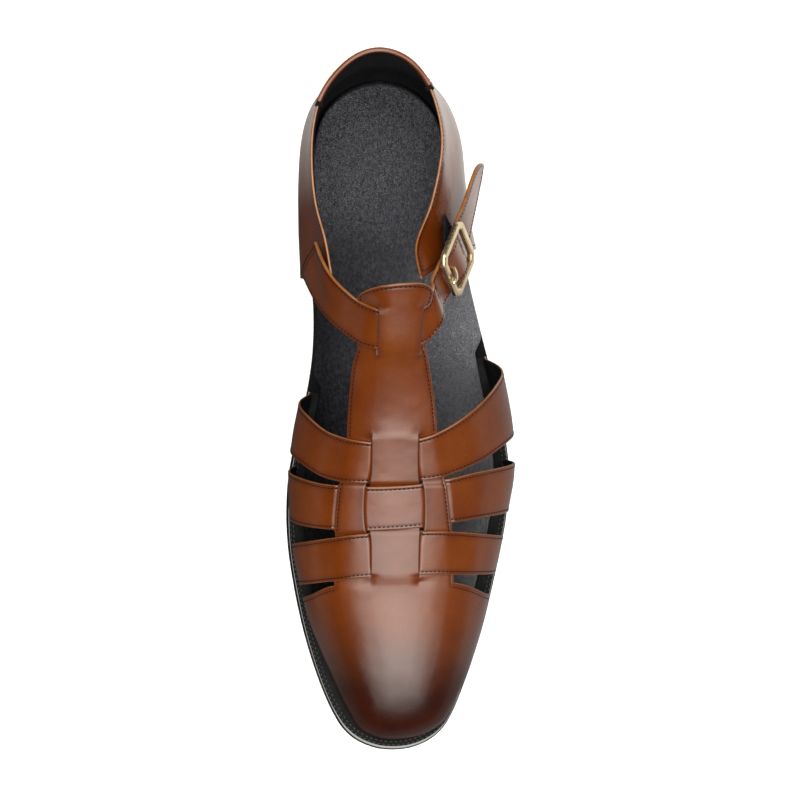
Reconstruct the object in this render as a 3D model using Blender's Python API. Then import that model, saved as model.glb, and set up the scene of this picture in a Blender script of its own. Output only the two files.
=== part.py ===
"""Roman sandal, left shoe: closed toe vamp with T-bar, three cross straps and a
buckled ankle strap, closed heel quarter, welted sole with a low block heel.
Frame: +X lateral, -X medial, -Y toe, +Y heel, +Z up, tread on Z = 0.
All sizes below are in millimetres; the meshes are made in metres."""
import bpy
import bmesh
import math
import numpy as np
from mathutils import Vector
from mathutils.bvhtree import BVHTree

for ob in list(bpy.data.objects):
    bpy.data.objects.remove(ob, do_unlink=True)

MM = 0.001

# ---------------------------------------------------------------- driving sizes
Y_HEEL, Y_TOE = 145.5, -153.1          # ends of the outsole
X_HEEL, X_TOE = -10.0, -3.1            # where the two ends lie across the shoe
OUTSOLE_T = 5.0                        # outsole thickness
WELT_T = 3.4                           # welt thickness
WELT_IN = 9.0                          # welt width, edge to inside
WELT_BACK_LAT, WELT_BACK_MED = 23.0, 7.0   # the welt ends here at the waist
INSOLE_T = 5.4                         # insole with its cover
WALL = 2.0                             # wall of the upper, leather with lining
QUARTER_WALL = 2.2                     # wall of the heel quarter
STRAP_T = 2.4                          # ankle strap thickness
GAP = 0.3                              # gap between pieces that touch
HEEL_FRONT_Y = 76.0                    # heel breast
HEEL_TAPER = 2.2                       # how far the heel tread lies inside the seat
FAN_START_Y = -75.0                    # toe sections fan out in front of here
FAN_END_Y = -118.0                     # ridge point that the toe sections meet at
EDGE_FOLD = 0.3013                     # leather folded round the strap edges
TAB_TOP_Y = 53.4                       # rounded top of the T-bar tab
TAB_ROUND = 5.0

# outline of the sole: y, medial x, lateral x
SOLE_ROWS = [
    (141.6, -24.5, 5.0), (131.5, -36.6, 16.6), (115.5, -42.2, 22.6),
    (98.0, -43.0, 24.2), (78.0, -41.8, 26.4), (58.0, -39.8, 30.2),
    (40.0, -38.6, 34.8), (22.0, -39.2, 39.8), (4.0, -42.0, 44.7),
    (-14.0, -46.4, 48.6), (-32.0, -49.8, 50.6), (-48.0, -50.7, 49.4),
    (-64.0, -49.9, 46.7), (-80.0, -47.5, 43.1), (-98.0, -43.75, 38.6),
    (-114.0, -39.2, 33.4), (-127.0, -34.5, 28.4), (-137.0, -29.9, 23.9),
    (-143.6, -25.7, 19.7), (-147.4, -21.7, 15.6), (-149.8, -17.8, 11.7), (-151.4, -13.9, 7.8), (-152.6, -9.4, 3.2),
]
# underside of the outsole: y, z (flat tread under the ball, arch, toe spring)
TREAD_ROWS = [
    (145.5, 20.6), (100.0, 19.6), (75.0, 17.6), (50.0, 12.8), (25.0, 7.2),
    (0.0, 2.7), (-20.0, 0.5), (-32.0, 0.0), (-68.0, 0.0), (-85.0, 0.7),
    (-105.0, 2.7), (-125.0, 5.8), (-140.0, 9.0), (-153.1, 12.2),
]
# top line of the foot form: y, x, z
RIDGE_ROWS = [
    (66.0, -7.6, 103.6), (50.0, -7.2, 98.5), (35.0, -7.0, 92.0), (20.0, -6.8, 84.3),
    (5.0, -6.3, 76.4), (-10.0, -5.8, 69.3), (-25.0, -5.3, 63.2), (-40.0, -4.9, 57.8),
    (-55.0, -4.6, 53.0), (-70.0, -4.2, 48.8), (-85.0, -3.5, 45.0), (-100.0, -2.7, 41.6),
    (-118.0, -2.0, 37.8),
]
# cross sections of the foot form: y, inset from the sole edge, roundness power, side bulge
SECTION_ROWS = [
    (66.0, 3.2, 2.00, 6.6), (30.0, 3.2, 2.05, 6.2), (0.0, 3.2, 2.13, 5.4),
    (-20.0, 3.7, 2.18, 4.4), (-45.0, 4.6, 2.22, 2.6), (-80.0, 5.5, 2.24, 1.7),
    (-120.0, 6.4, 2.08, 1.3), (-153.1, 7.9, 2.00, 1.0),
]
# the vamp stands further in on the medial side of the toe: y, added inset
INNER_ROWS = [(-82.0, 0.0), (-94.0, 0.3), (-108.0, 1.4), (-123.0, 2.2), (-138.0, 1.9), (-146.5, 0.7), (-153.1, 0.0)]
OUTER_ROWS = [(-45.0, 0.0), (-70.0, 0.5), (-95.0, 1.4), (-120.0, 2.4), (-138.0, 2.4), (-147.0, 1.1), (-153.1, 0.0)]   # y, how much nearer the edge the lateral toe stands
# strap edges: y at places across the foot, from the medial welt (-1) over the ridge (0)
# to the lateral welt (1)
ACROSS = (-1.0, -0.7, -0.45, -0.2, 0.0, 0.2, 0.45, 0.7, 1.0)
STRAP_EDGES = {
    "first_back": (6.0, -1.6, -9.8, -13.1, -13.7, -10.0, 0.0, 12.2, 21.8),
    "first_front": (-16.2, -22.8, -29.4, -31.3, -30.6, -29.4, -22.9, -14.8, -9.3),
    "second_back": (-25.9, -29.6, -32.2, -32.7, -32.5, -30.8, -27.2, -25.1, -23.5),
    "second_front": (-48.6, -51.4, -52.2, -52.2, -51.4, -50.3, -48.2, -47.3, -46.8),
    "third_back": (-61.8, -59.3, -56.5, -53.6, -52.6, -52.6, -54.6, -56.8, -58.6),
    "third_front": (-80.4, -78.3, -75.8, -73.1, -71.9, -71.8, -73.2, -74.5, -75.6),
    "vamp_back": (-86.5, -83.2, -77.9, -75.4, -74.8, -74.2, -77.7, -82.7, -85.8),
}
# T-bar with the three fingers that weave through the straps: y, medial x, lateral x
TBAR_ROWS = [
    (56.0, -19.8, 6.8), (40.0, -20.6, 6.4), (25.0, -21.5, 6.2), (18.0, -22.7, 7.6),
    (4.0, -24.0, 10.4), (-11.0, -25.0, 12.4), (-25.0, -27.0, 15.4), (-40.0, -28.7, 17.8),
    (-75.0, -30.0, 21.3), (-90.0, -30.5, 22.0),
]
# heel quarter, from the lateral front round the heel to the medial front:
# y on the sole edge and its side, top line x, y, z, outward bulge
LAT, MED = 1, -1
QUARTER_ROWS = [
    (69.0, LAT, 3.0, 52.5, 88.5, 6.4),
    (79.0, LAT, 1.4, 66.0, 81.5, 6.0),
    (92.0, LAT, 8.0, 85.0, 75.0, 5.3),
    (107.0, LAT, 12.3, 105.0, 73.5, 4.7),
    (128.0, LAT, 9.5, 127.5, 77.0, 4.2),
    (141.5, LAT, -0.5, 141.6, 84.0, 4.0),
    (145.5, LAT, -13.0, 145.6, 87.5, 4.0),
    (141.5, MED, -25.0, 141.2, 84.5, 3.8),
    (128.0, MED, -36.2, 126.5, 77.5, 3.6),
    (107.0, MED, -39.2, 104.0, 74.0, 3.6),
    (90.0, MED, -37.6, 85.5, 75.0, 4.4),
    (73.0, MED, -33.5, 69.0, 79.3, 5.6),
    (57.0, MED, -31.0, 54.5, 79.8, 6.6),
]
QUARTER_INSET = 3.4                    # inside of the quarter from the sole edge
QUARTER_LEAN = 2.2                     # how late the wall leans in towards the collar
# ankle strap, medial end to the buckle: upper edge (y, across), lower edge (y, across), height over the foot form
COLLAR_CLEAR = 0.9                     # how far the strap's upper edge stands off the collar
SEWN_FROM_Y = 52.0                     # behind here the strap lies on the quarter
STRAP_ROWS = [
    (69.0, -0.600, 58.5, -0.830, 0.9),
    (63.0, -0.540, 52.5, -0.750, 0.9),
    (56.7, -0.480, 46.0, -0.670, 0.9),
    (49.3, -0.376, 38.0, -0.520, 2.5),
    (44.1, -0.270, 31.5, -0.400, 1.1),
    (41.0, -0.120, 26.5, -0.240, 0.9),
    (40.3, 0.020, 24.6, -0.050, 0.9),
    (41.0, 0.130, 25.6, 0.100, 0.9),
    (44.1, 0.220, 29.6, 0.215, 0.9),
    (50.0, 0.252, 36.5, 0.300, 1.0),
]
# buckle: centre, direction along the strap, direction across it
BUCKLE_AT = (20.5, 62.2, 75.5)
BUCKLE_ALONG = (0.349, 0.793, -0.502)
BUCKLE_ACROSS = (0.318, -0.641, -0.697)
BUCKLE_LEN, BUCKLE_WID = 25.0, 25.5    # outside of the frame
BUCKLE_BAR = 3.0                       # width of the frame's bars
BUCKLE_BAR_T = 2.2                     # thickness of the frame's bars
BUCKLE_CUT = 2.6                       # corner cut of the frame
BUCKLE_SAG = 2.4                       # how far the middle bar lies below the frame
BAR_R = 0.9                            # middle bar radius
PRONG_R = 0.9
HOLE_W, HOLE_FROM, HOLE_TO = 3.2, -9.6, -1.4   # slot in the strap for the prong
STRAP_HALF = 8.7                       # half width of the ankle strap
# strap through the buckle and its tail: place along the strap, across, height over the buckle plane, half width, twist
TAIL_ROWS = [
    (-18.5, 0.0, -3.2, 8.7, 0.0), (-12.5, 0.0, -2.95, 8.7, 0.0), (-8.2, 0.0, -2.75, 8.7, 0.0), (-4.2, 0.0, -0.8, 8.7, 0.0),
    (0.0, 0.0, 0.15, 8.7, 0.0), (4.2, 0.0, -0.8, 8.7, 0.0), (8.2, 0.0, -2.75, 8.7, 0.0), (12.5, 0.0, -2.95, 8.7, 0.0),
    (20.0, -0.4, -3.0, 8.6, -0.06), (28.0, -1.3, -3.3, 8.5, -0.12), (36.0, -2.6, -3.6, 8.2, -0.17), (42.0, -3.6, -3.7, 6.9, -0.2),
    (46.0, -4.2, -3.6, 4.4, -0.2), (48.8, -4.6, -3.4, 1.2, -0.2),
]
TAB_W, TAB_T, TAB_SIDE = 11.0, 1.2, -2.6   # elastic tab: width, thickness, place across the buckle

# ---------------------------------------------------------------- curves
def eased(xs, ys):
    """cubic through the rows, slopes by finite differences"""
    xs, ys = np.asarray(xs, float), np.asarray(ys, float)
    o = np.argsort(xs)
    xs, ys = xs[o], ys[o]
    m, h = np.gradient(ys, xs), np.diff(xs)

    def f(x):
        x = np.clip(np.asarray(x, float), xs[0], xs[-1])
        k = np.clip(np.searchsorted(xs, x, side="right") - 1, 0, len(xs) - 2)
        t = (x - xs[k]) / h[k]
        return ((1 + 2 * t) * (1 - t) ** 2 * ys[k] + t * (1 - t) ** 2 * h[k] * m[k]
                + t * t * (3 - 2 * t) * ys[k + 1] + t * t * (t - 1) * h[k] * m[k + 1])
    return f


def level(xs, ys):
    """cubic through the rows that never overshoots, so flat runs stay flat"""
    xs, ys = np.asarray(xs, float), np.asarray(ys, float)
    o = np.argsort(xs)
    xs, ys = xs[o], ys[o]
    h = np.diff(xs)
    d = np.diff(ys) / h
    m = np.zeros_like(ys)
    for i in range(1, len(xs) - 1):
        if d[i - 1] * d[i] > 0:
            a, b = 2 * h[i] + h[i - 1], h[i] + 2 * h[i - 1]
            m[i] = (a + b) / (a / d[i - 1] + b / d[i])
    m[0], m[-1] = d[0], d[-1]

    def f(x):
        x = np.clip(np.asarray(x, float), xs[0], xs[-1])
        k = np.clip(np.searchsorted(xs, x, side="right") - 1, 0, len(xs) - 2)
        t = (x - xs[k]) / h[k]
        return ((1 + 2 * t) * (1 - t) ** 2 * ys[k] + t * (1 - t) ** 2 * h[k] * m[k]
                + t * t * (3 - 2 * t) * ys[k + 1] + t * t * (t - 1) * h[k] * m[k + 1])
    return f


def column(rows, k):
    return [r[k] for r in rows]


Y_MID, Y_HALF = (Y_HEEL + Y_TOE) / 2, (Y_HEEL - Y_TOE) / 2


def turn_of(y):
    """place round the outline: 0 heel end, pi toe end (lateral side), on to 2 pi (medial side)"""
    return np.arccos(np.clip((np.asarray(y, float) - Y_MID) / Y_HALF, -1, 1))


_turn = ([0.0] + [float(turn_of(r[0])) for r in SOLE_ROWS] + [math.pi]
         + [2 * math.pi - float(turn_of(r[0])) for r in SOLE_ROWS[::-1]])
_side = [X_HEEL] + column(SOLE_ROWS, 2) + [X_TOE] + column(SOLE_ROWS[::-1], 1)
_turn, _side = np.array(_turn), np.array(_side)
outline_x = eased(np.concatenate([_turn[-3:] - 2 * math.pi, _turn, _turn[:3] + 2 * math.pi]),
                  np.concatenate([_side[-3:], _side, _side[:3]]))


def outline(turn, inset=0.0):
    """sole edge moved inwards by inset"""
    p = np.mod(np.asarray(turn, float), 2 * math.pi)
    e = 1e-4
    dx = outline_x(np.mod(p + e, 2 * math.pi)) - outline_x(np.mod(p - e, 2 * math.pi))
    dy = Y_HALF * (np.cos(p + e) - np.cos(p - e))
    n = np.hypot(dx, dy)
    return outline_x(p) + dy / n * inset, Y_MID + Y_HALF * np.cos(p) - dx / n * inset


tread_z = level(column(TREAD_ROWS, 0), column(TREAD_ROWS, 1))


def sole_top(y):
    return tread_z(y) + OUTSOLE_T


def welt_top(y):
    return sole_top(y) + GAP + WELT_T


ridge_x = eased(column(RIDGE_ROWS, 0), column(RIDGE_ROWS, 1))
ridge_z = eased(column(RIDGE_ROWS, 0), column(RIDGE_ROWS, 2))
form_inset = level(column(SECTION_ROWS, 0), column(SECTION_ROWS, 1))
inner_inset = level(column(INNER_ROWS, 0), column(INNER_ROWS, 1))
outer_gain = level(column(OUTER_ROWS, 0), column(OUTER_ROWS, 1))
form_power = level(column(SECTION_ROWS, 0), column(SECTION_ROWS, 2))
form_bulge = level(column(SECTION_ROWS, 0), column(SECTION_ROWS, 3))


def fan(y):
    """ridge place of the section that starts at y on the welt"""
    y = np.asarray(y, float)
    span, reach = FAN_START_Y - (Y_TOE + form_inset(Y_TOE)), FAN_START_Y - FAN_END_Y
    t = np.clip((FAN_START_Y - y) / span, 0, 1)
    return np.where(y > FAN_START_Y, y, FAN_START_Y - reach * (t + (span / reach - 1) * t * (1 - t)))


def form(y, across):
    """point of the foot form, across = -1 medial welt .. 0 ridge .. 1 lateral welt"""
    y, across = np.broadcast_arrays(np.asarray(y, float), np.asarray(across, float))
    turn = turn_of(y)
    turn = np.where(across >= 0, turn, 2 * math.pi - turn)
    fx, fy = outline(turn, form_inset(y) + np.where(across < 0, inner_inset(y), -outer_gain(y)))
    ry = fan(y)
    rx, rz = ridge_x(ry), ridge_z(ry)
    fz = welt_top(fy) + GAP
    ang, n = (1 - np.abs(across)) * math.pi / 2, form_power(y)
    c = np.clip(np.cos(ang), 0, 1) ** (2 / n)
    h = np.clip(np.sin(ang), 0, 1) ** (2 / n)
    dx, dy = fx - rx, fy - ry
    d = np.hypot(dx, dy)
    out = form_bulge(y) * 6.75 * h * (1 - h) ** 2
    slope = (ridge_z(ry + 1.0) - rz) * dy * c * (1 - c) ** 2       # leaves the ridge at the ridge's own slope
    return np.stack([rx + dx * c + dx / d * out, ry + dy * c + dy / d * out, fz + (rz - fz) * h + slope], -1)


def form_normal(y, across):
    """outward direction of the foot form"""
    e = 0.002
    a0, a1 = np.clip(across - e, -1, 1), np.clip(across + e, -1, 1)
    du = form(y + 0.2, across) - form(y - 0.2, across)
    dv = form(y, a1) - form(y, a0)
    n = np.cross(dv, du)
    return n / np.linalg.norm(n, axis=-1, keepdims=True)


# ---------------------------------------------------------------- mesh helpers
def material(name, rgb, rough, metal=0.0):
    m = bpy.data.materials.new(name)
    m.use_nodes = True
    b = m.node_tree.nodes["Principled BSDF"]
    b.inputs["Base Color"].default_value = (*rgb, 1.0)
    b.inputs["Roughness"].default_value = rough
    b.inputs["Metallic"].default_value = metal
    m.diffuse_color = (*rgb, 1.0)
    return m


def make(name, verts, faces, mat, weld=0.00002):
    """closed body from millimetre points"""
    me = bpy.data.meshes.new(name)
    me.from_pydata([tuple(float(c) * MM for c in v) for v in verts], [], [tuple(int(i) for i in f) for f in faces])
    bm = bmesh.new()
    bm.from_mesh(me)
    bmesh.ops.remove_doubles(bm, verts=bm.verts[:], dist=weld)
    bmesh.ops.dissolve_degenerate(bm, edges=bm.edges[:], dist=weld)
    bmesh.ops.triangulate(bm, faces=[f for f in bm.faces if len(f.verts) > 3])
    bmesh.ops.recalc_face_normals(bm, faces=bm.faces[:])
    if bm.calc_volume(signed=True) < 0:
        bmesh.ops.reverse_faces(bm, faces=bm.faces[:])
    bm.to_mesh(me)
    bm.free()
    me.materials.append(mat)
    ob = bpy.data.objects.new(name, me)
    bpy.context.scene.collection.objects.link(ob)
    return ob


def plate(left, right, top, bottom):
    """plate between two side lines (n,2); top and bottom give z by y"""
    n = len(left)
    pts, faces = [], []
    for line in (left, right):
        for z in (top, bottom):
            pts += [(p[0], p[1], float(z(p[1]))) for p in line]
    lt, lb, rt, rb = 0, n, 2 * n, 3 * n
    for i in range(n - 1):
        j = i + 1
        faces += [(lt + i, lt + j, rt + j, rt + i), (lb + i, rb + i, rb + j, lb + j),
                  (lt + i, lb + i, lb + j, lt + j), (rt + i, rt + j, rb + j, rb + i)]
    faces += [(lt, rt, rb, lb), (lt + n - 1, lb + n - 1, rb + n - 1, rt + n - 1)]
    return pts, faces


def tube(rings, closed=False):
    """body through rings of equal length"""
    k, n = len(rings[0]), len(rings)
    pts = [p for r in rings for p in r]
    faces = []
    for i in range(n if closed else n - 1):
        a, b = i * k, ((i + 1) % n) * k
        for j in range(k):
            faces.append((a + j, a + (j + 1) % k, b + (j + 1) % k, b + j))
    if not closed:
        faces += [tuple(range(k)), tuple(range((n - 1) * k, n * k))[::-1]]
    return pts, faces


def thick_grid(grid, normal, inner, outer):
    """wall on an open grid of points (rows, columns, 3)"""
    r, c = grid.shape[:2]
    lo, hi = (grid + normal * inner).reshape(-1, 3), (grid + normal * outer).reshape(-1, 3)
    pts = np.concatenate([lo, hi])
    m = r * c
    faces = []
    for i in range(r - 1):
        for j in range(c - 1):
            a, b, d, e = i * c + j, i * c + j + 1, (i + 1) * c + j + 1, (i + 1) * c + j
            faces += [(a, b, d, e), (m + a, m + e, m + d, m + b)]
    rim = [(0, j) for j in range(c)] + [(i, c - 1) for i in range(1, r)]
    rim += [(r - 1, j) for j in range(c - 2, -1, -1)] + [(i, 0) for i in range(r - 2, 0, -1)]
    ids = [i * c + j for i, j in rim]
    for a, b in zip(ids, ids[1:] + ids[:1]):
        faces.append((a, m + a, m + b, b))
    return pts, faces


def grid_normals(grid, towards):
    du, dv = np.gradient(grid, axis=0), np.gradient(grid, axis=1)
    n = np.cross(du, dv)
    n /= np.linalg.norm(n, axis=-1, keepdims=True) + 1e-12
    return n * np.where(np.sum(n * towards, axis=-1, keepdims=True) < 0, -1, 1)


def cut(target, tool, mode):
    md = target.modifiers.new("cut", "BOOLEAN")
    md.object, md.operation, md.solver = tool, mode, "EXACT"
    tool.hide_render = True
    tool.display_type = "WIRE"


def bake(target, tools):
    """keeps the cut shape and removes the cutters"""
    dg = bpy.context.evaluated_depsgraph_get()
    me = bpy.data.meshes.new_from_object(target.evaluated_get(dg))
    target.modifiers.clear()
    target.data = me
    for t in tools:
        bpy.data.objects.remove(t, do_unlink=True)
    bm = bmesh.new()
    bm.from_mesh(me)
    bmesh.ops.remove_doubles(bm, verts=bm.verts[:], dist=0.00002)
    bmesh.ops.dissolve_degenerate(bm, edges=bm.edges[:], dist=0.00002)
    bmesh.ops.triangulate(bm, faces=[f for f in bm.faces if len(f.verts) > 3])
    bm.to_mesh(me)
    bm.free()


# ---------------------------------------------------------------- materials
BLACK_EDGE = material("black_sole_edge", (0.018, 0.017, 0.017), 0.42)
BLACK_HEEL = material("black_heel", (0.015, 0.015, 0.015), 0.5)
BLACK_WELT = material("black_welt", (0.022, 0.021, 0.021), 0.5)
BLACK_INSOLE = material("black_insole_leather", (0.032, 0.032, 0.034), 0.55)
TAN_LEATHER = material("tan_leather", (0.23, 0.062, 0.014), 0.38)
TAN_QUARTER = material("tan_quarter_leather", (0.24, 0.066, 0.015), 0.36)
BRASS = material("satin_brass", (0.72, 0.62, 0.44), 0.32, 1.0)
BRASS_PIN = material("satin_brass_prong", (0.72, 0.62, 0.44), 0.3, 1.0)
ELASTIC = material("black_elastic", (0.02, 0.02, 0.02), 0.8)

# ---------------------------------------------------------------- sole
SOLE_STEPS = 44


def side_lines(inset, turns):
    """lateral and medial side lines inset by a function of y"""
    y0 = Y_MID + Y_HALF * np.cos(turns)
    lat = np.stack(outline(turns, inset(y0)), -1)
    med = np.stack(outline(2 * math.pi - turns, inset(y0)), -1)
    return lat, med


turns_all = np.linspace(0.0, math.pi, SOLE_STEPS + 1)
flat_turns = turn_of([-32.0, -68.0])
turns_all = np.unique(np.round(np.concatenate([turns_all, flat_turns]), 6))
lat, med = side_lines(lambda y: 0.0 * y, turns_all)
outsole = make("outsole", *plate(lat, med, sole_top, tread_z), BLACK_EDGE)

# heel: D-shaped block, straight breast, tapering down to a flat tread
heel_turns = np.linspace(0.0, float(turn_of(HEEL_FRONT_Y)), 17)
hl, hm = side_lines(lambda y: 0.6 + 0.0 * y, heel_turns)
tl, tm = side_lines(lambda y: 0.6 + HEEL_TAPER + 0.0 * y, heel_turns)
tl[-1, 1] = tm[-1, 1] = HEEL_FRONT_Y + 2.0
hl[-1, 1] = hm[-1, 1] = HEEL_FRONT_Y
n = len(hl)
pts = []
for line in (hl, hm):
    pts += [(p[0], p[1], float(tread_z(p[1])) - GAP) for p in line]
for line in (tl, tm):
    pts += [(p[0], p[1], 0.0) for p in line]
ht, mt, hb, mb = 0, n, 2 * n, 3 * n
faces = []
for i in range(n - 1):
    j = i + 1
    faces += [(ht + i, ht + j, mt + j, mt + i), (hb + i, mb + i, mb + j, hb + j),
              (ht + i, hb + i, hb + j, ht + j), (mt + i, mt + j, mb + j, mb + i)]
faces += [(ht + n - 1, hb + n - 1, mb + n - 1, mt + n - 1)]
heel = make("heel", pts, faces, BLACK_HEEL)

# welt: strip round the forepart from waist to waist
rings = []
for t in np.linspace(float(turn_of(WELT_BACK_LAT)), 2 * math.pi - float(turn_of(WELT_BACK_MED)), 75):
    y0 = Y_MID + Y_HALF * math.cos(t)
    ox, oy = outline(t, 0.35)
    ix, iy = outline(t, WELT_IN)
    rings.append([(ox, oy, sole_top(oy) + GAP), (ox, oy, welt_top(oy)),
                  (ix, iy, welt_top(iy)), (ix, iy, sole_top(iy) + GAP)])
welt = make("welt", *tube(rings), BLACK_WELT)

# insole: inside the welt in front, out to the sole edge at the open waist, inside the quarter at the heel
def insole_side(welt_back, quarter_front, side):
    """side line: inside the quarter, out to the edge at the waist, inside the welt"""
    wall, edge_in, welt_in = QUARTER_INSET + 0.35, 0.5, WELT_IN + 0.35
    turns_y = [quarter_front - 2.5, quarter_front - 6.0, welt_back + 4.5, welt_back + 1.5]
    inset = level([Y_HEEL, *turns_y, Y_TOE], [wall, wall, edge_in, edge_in, welt_in, welt_in])
    return side_lines(inset, insole_turns)[0 if side == LAT else 1]


insole_turns = np.unique(np.round(np.concatenate([np.linspace(0.0, math.pi, 61), *[
    turn_of([f - 2.5, f - 6.0, w + 4.5, w + 3.0, w + 1.5])
    for f, w in ((QUARTER_ROWS[0][0], WELT_BACK_LAT), (QUARTER_ROWS[-1][0], WELT_BACK_MED))]]), 6))
lat = insole_side(WELT_BACK_LAT, QUARTER_ROWS[0][0], LAT)
med = insole_side(WELT_BACK_MED, QUARTER_ROWS[-1][0], MED)
insole = make("insole", *plate(lat, med, lambda y: sole_top(y) + GAP + INSOLE_T, lambda y: sole_top(y) + GAP), BLACK_INSOLE)

# ---------------------------------------------------------------- upper wall
edge = {k: eased(ACROSS, v) for k, v in STRAP_EDGES.items()}
tbar_med = eased(column(TBAR_ROWS, 0), column(TBAR_ROWS, 1))
tbar_lat = eased(column(TBAR_ROWS, 0), column(TBAR_ROWS, 2))


def leather(y, across, x):
    """above zero where the upper has leather"""
    best = edge["vamp_back"](across) - y
    for s in ("first", "second", "third"):
        best = np.maximum(best, np.minimum(edge[s + "_back"](across) - y, y - edge[s + "_front"](across)))
    m, l = tbar_med(y), tbar_lat(y)
    top = TAB_TOP_Y - TAB_ROUND * np.abs((x - (m + l) / 2) / ((l - m) / 2)) ** 2.4 - y
    bar = np.minimum(np.minimum(x - m, l - x), top)
    return np.maximum(best, bar)


rows_y = np.concatenate([np.arange(57.0, 24.0, -4.0), np.arange(24.0, -90.0, -3.1)])
toe_turn = np.linspace(float(turn_of(rows_y[-1] - 3.4)), math.pi, 15)
rows_y = np.concatenate([rows_y, Y_MID + Y_HALF * np.cos(toe_turn)])
half = 13
cols = np.concatenate([-np.linspace(1, 0, half + 1), np.linspace(0, 1, half + 1)[1:]])
gy, gv = np.meshgrid(rows_y, cols, indexing="ij")
gp = form(gy, gv)
R, C = gy.shape
key = gp.reshape(-1, 3)
# the last row folds onto itself at the toe: both halves share its points
index = np.arange(R * C).reshape(R, C)
index[R - 1, :half] = index[R - 1, half + 1:][::-1]
# the front rows meet in one point of the ridge
for i in range(R - 1):
    if np.linalg.norm(gp[i, half] - gp[R - 1, half]) < 0.8:
        index[i, half] = index[R - 1, half]
tris = []
for i in range(R - 1):
    for j in range(C - 1):
        a, b, c2, d = index[i, j], index[i, j + 1], index[i + 1, j + 1], index[i + 1, j]
        if (i + j) % 2:
            tris += [(a, b, c2), (a, c2, d)]
        else:
            tris += [(a, b, d), (b, c2, d)]
tris = [t for t in tris if len(set(t)) == 3]
vn = np.zeros_like(key)
for t in tris:
    f = np.cross(key[t[1]] - key[t[0]], key[t[2]] - key[t[0]])
    for k in t:
        vn[k] += f
vn /= np.linalg.norm(vn, axis=1, keepdims=True) + 1e-12
if vn[index[10, half], 2] < 0:
    vn = -vn
for i in range(R):
    for j in (0, C - 1):               # the bottom edge lies level on the welt
        k = index[i, j]
        v = vn[k]
        v[:2] /= np.hypot(v[0], v[1])
        v[2] = (welt_top(key[k, 1] + v[1] * WALL) - welt_top(key[k, 1])) / WALL
field = leather(gy.reshape(-1), gv.reshape(-1), key[:, 0]) + EDGE_FOLD

# keep the part of the sheet that is leather, with clean cut edges
base, nrm = list(key), list(vn)
cuts, sheet = {}, []


def crossing(a, b):
    k = (min(a, b), max(a, b))
    if k not in cuts:
        t = field[k[0]] / (field[k[0]] - field[k[1]])
        t = min(max(t, 0.04), 0.96)
        cuts[k] = len(base)
        base.append(key[k[0]] * (1 - t) + key[k[1]] * t)
        nv = vn[k[0]] * (1 - t) + vn[k[1]] * t
        nrm.append(nv / np.linalg.norm(nv))
    return cuts[k]


for t in tris:
    keep = [field[k] > 0 for k in t]
    if all(keep):
        sheet.append(t)
    elif any(keep):
        poly = []
        for q in range(3):
            a, b = t[q], t[(q + 1) % 3]
            if field[a] > 0:
                poly.append(a)
            if (field[a] > 0) != (field[b] > 0):
                poly.append(crossing(a, b))
        for q in range(1, len(poly) - 1):
            sheet.append((poly[0], poly[q], poly[q + 1]))
used = sorted({k for t in sheet for k in t})
slot = {k: i for i, k in enumerate(used)}
sheet = [tuple(slot[k] for k in t) for t in sheet]
base, nrm = np.array(base)[used], np.array(nrm)[used]
m = len(used)
count = {}
for t in sheet:
    for q in range(3):
        a, b = t[q], t[(q + 1) % 3]
        count[(a, b)] = count.get((a, b), 0) + 1
faces = []
for t in sheet:
    faces += [t, (m + t[2], m + t[1], m + t[0])]
for (a, b) in count:
    if (b, a) not in count:
        faces.append((b, a, m + a, m + b))
upper = make("upper", np.concatenate([base, base + nrm * WALL]), faces, TAN_LEATHER)

# ---------------------------------------------------------------- heel quarter
turn_rows = np.array([float(turn_of(r[0])) if r[1] == LAT else -float(turn_of(r[0])) for r in QUARTER_ROWS])
q_fun = [eased(-turn_rows, column(QUARTER_ROWS, k)) for k in (2, 3, 4, 5)]


def quarter_wall(turn, up):
    """inside of the quarter wall and its outward direction, up = 0 sole .. 1 collar"""
    fx, fy = outline(turn, QUARTER_INSET)
    ox, oy = outline(turn, QUARTER_INSET - 1.0)
    tx, ty, tz, bul = [f(-turn) for f in q_fun]
    ahead = np.maximum(0.0, turn_rows[-1] - turn) * Y_HALF     # the wall carried on past its front
    c = up ** QUARTER_LEAN
    out = bul * 9.4815 * up * (1 - up) ** 3
    fz = sole_top(fy) + GAP
    wall = np.stack([fx + (tx - fx) * c + (ox - fx) * out, fy + (ty - ahead - fy) * c + (oy - fy) * out, fz + (tz - fz) * up], -1)
    return wall, grid_normals(wall, np.stack([ox - fx, oy - fy, 0.25 + 0 * fx], -1))


q_up = np.linspace(0.0, 1.0, 9)
qg, qn = quarter_wall(*np.meshgrid(np.linspace(turn_rows[0], turn_rows[-1], 43), q_up, indexing="ij"))
qn[:, 0, :2] /= np.linalg.norm(qn[:, 0, :2], axis=-1, keepdims=True)   # the bottom edge lies on the sole
qn[:, 0, 2] = (sole_top(qg[:, 0, 1] + qn[:, 0, 1] * QUARTER_WALL) - sole_top(qg[:, 0, 1])) / QUARTER_WALL
quarter = make("heel_quarter", *thick_grid(qg, qn, 0.0, QUARTER_WALL), TAN_QUARTER)
wall_tree = BVHTree.FromPolygons([v.co[:] for v in quarter.data.vertices], [p.vertices[:] for p in quarter.data.polygons])
# the medial wall carried on forwards, for the strap that is sewn onto it
eg, en = quarter_wall(*np.meshgrid(np.linspace(turn_rows[-3], turn_rows[-1] - 0.16, 25), q_up, indexing="ij"))
eg = (eg + en * QUARTER_WALL) * MM
quads = [(i * 9 + j, i * 9 + j + 1, (i + 1) * 9 + j + 1, (i + 1) * 9 + j) for i in range(24) for j in range(8)]
sewn_tree = BVHTree.FromPolygons([tuple(v) for v in eg.reshape(-1, 3)], quads)

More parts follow.
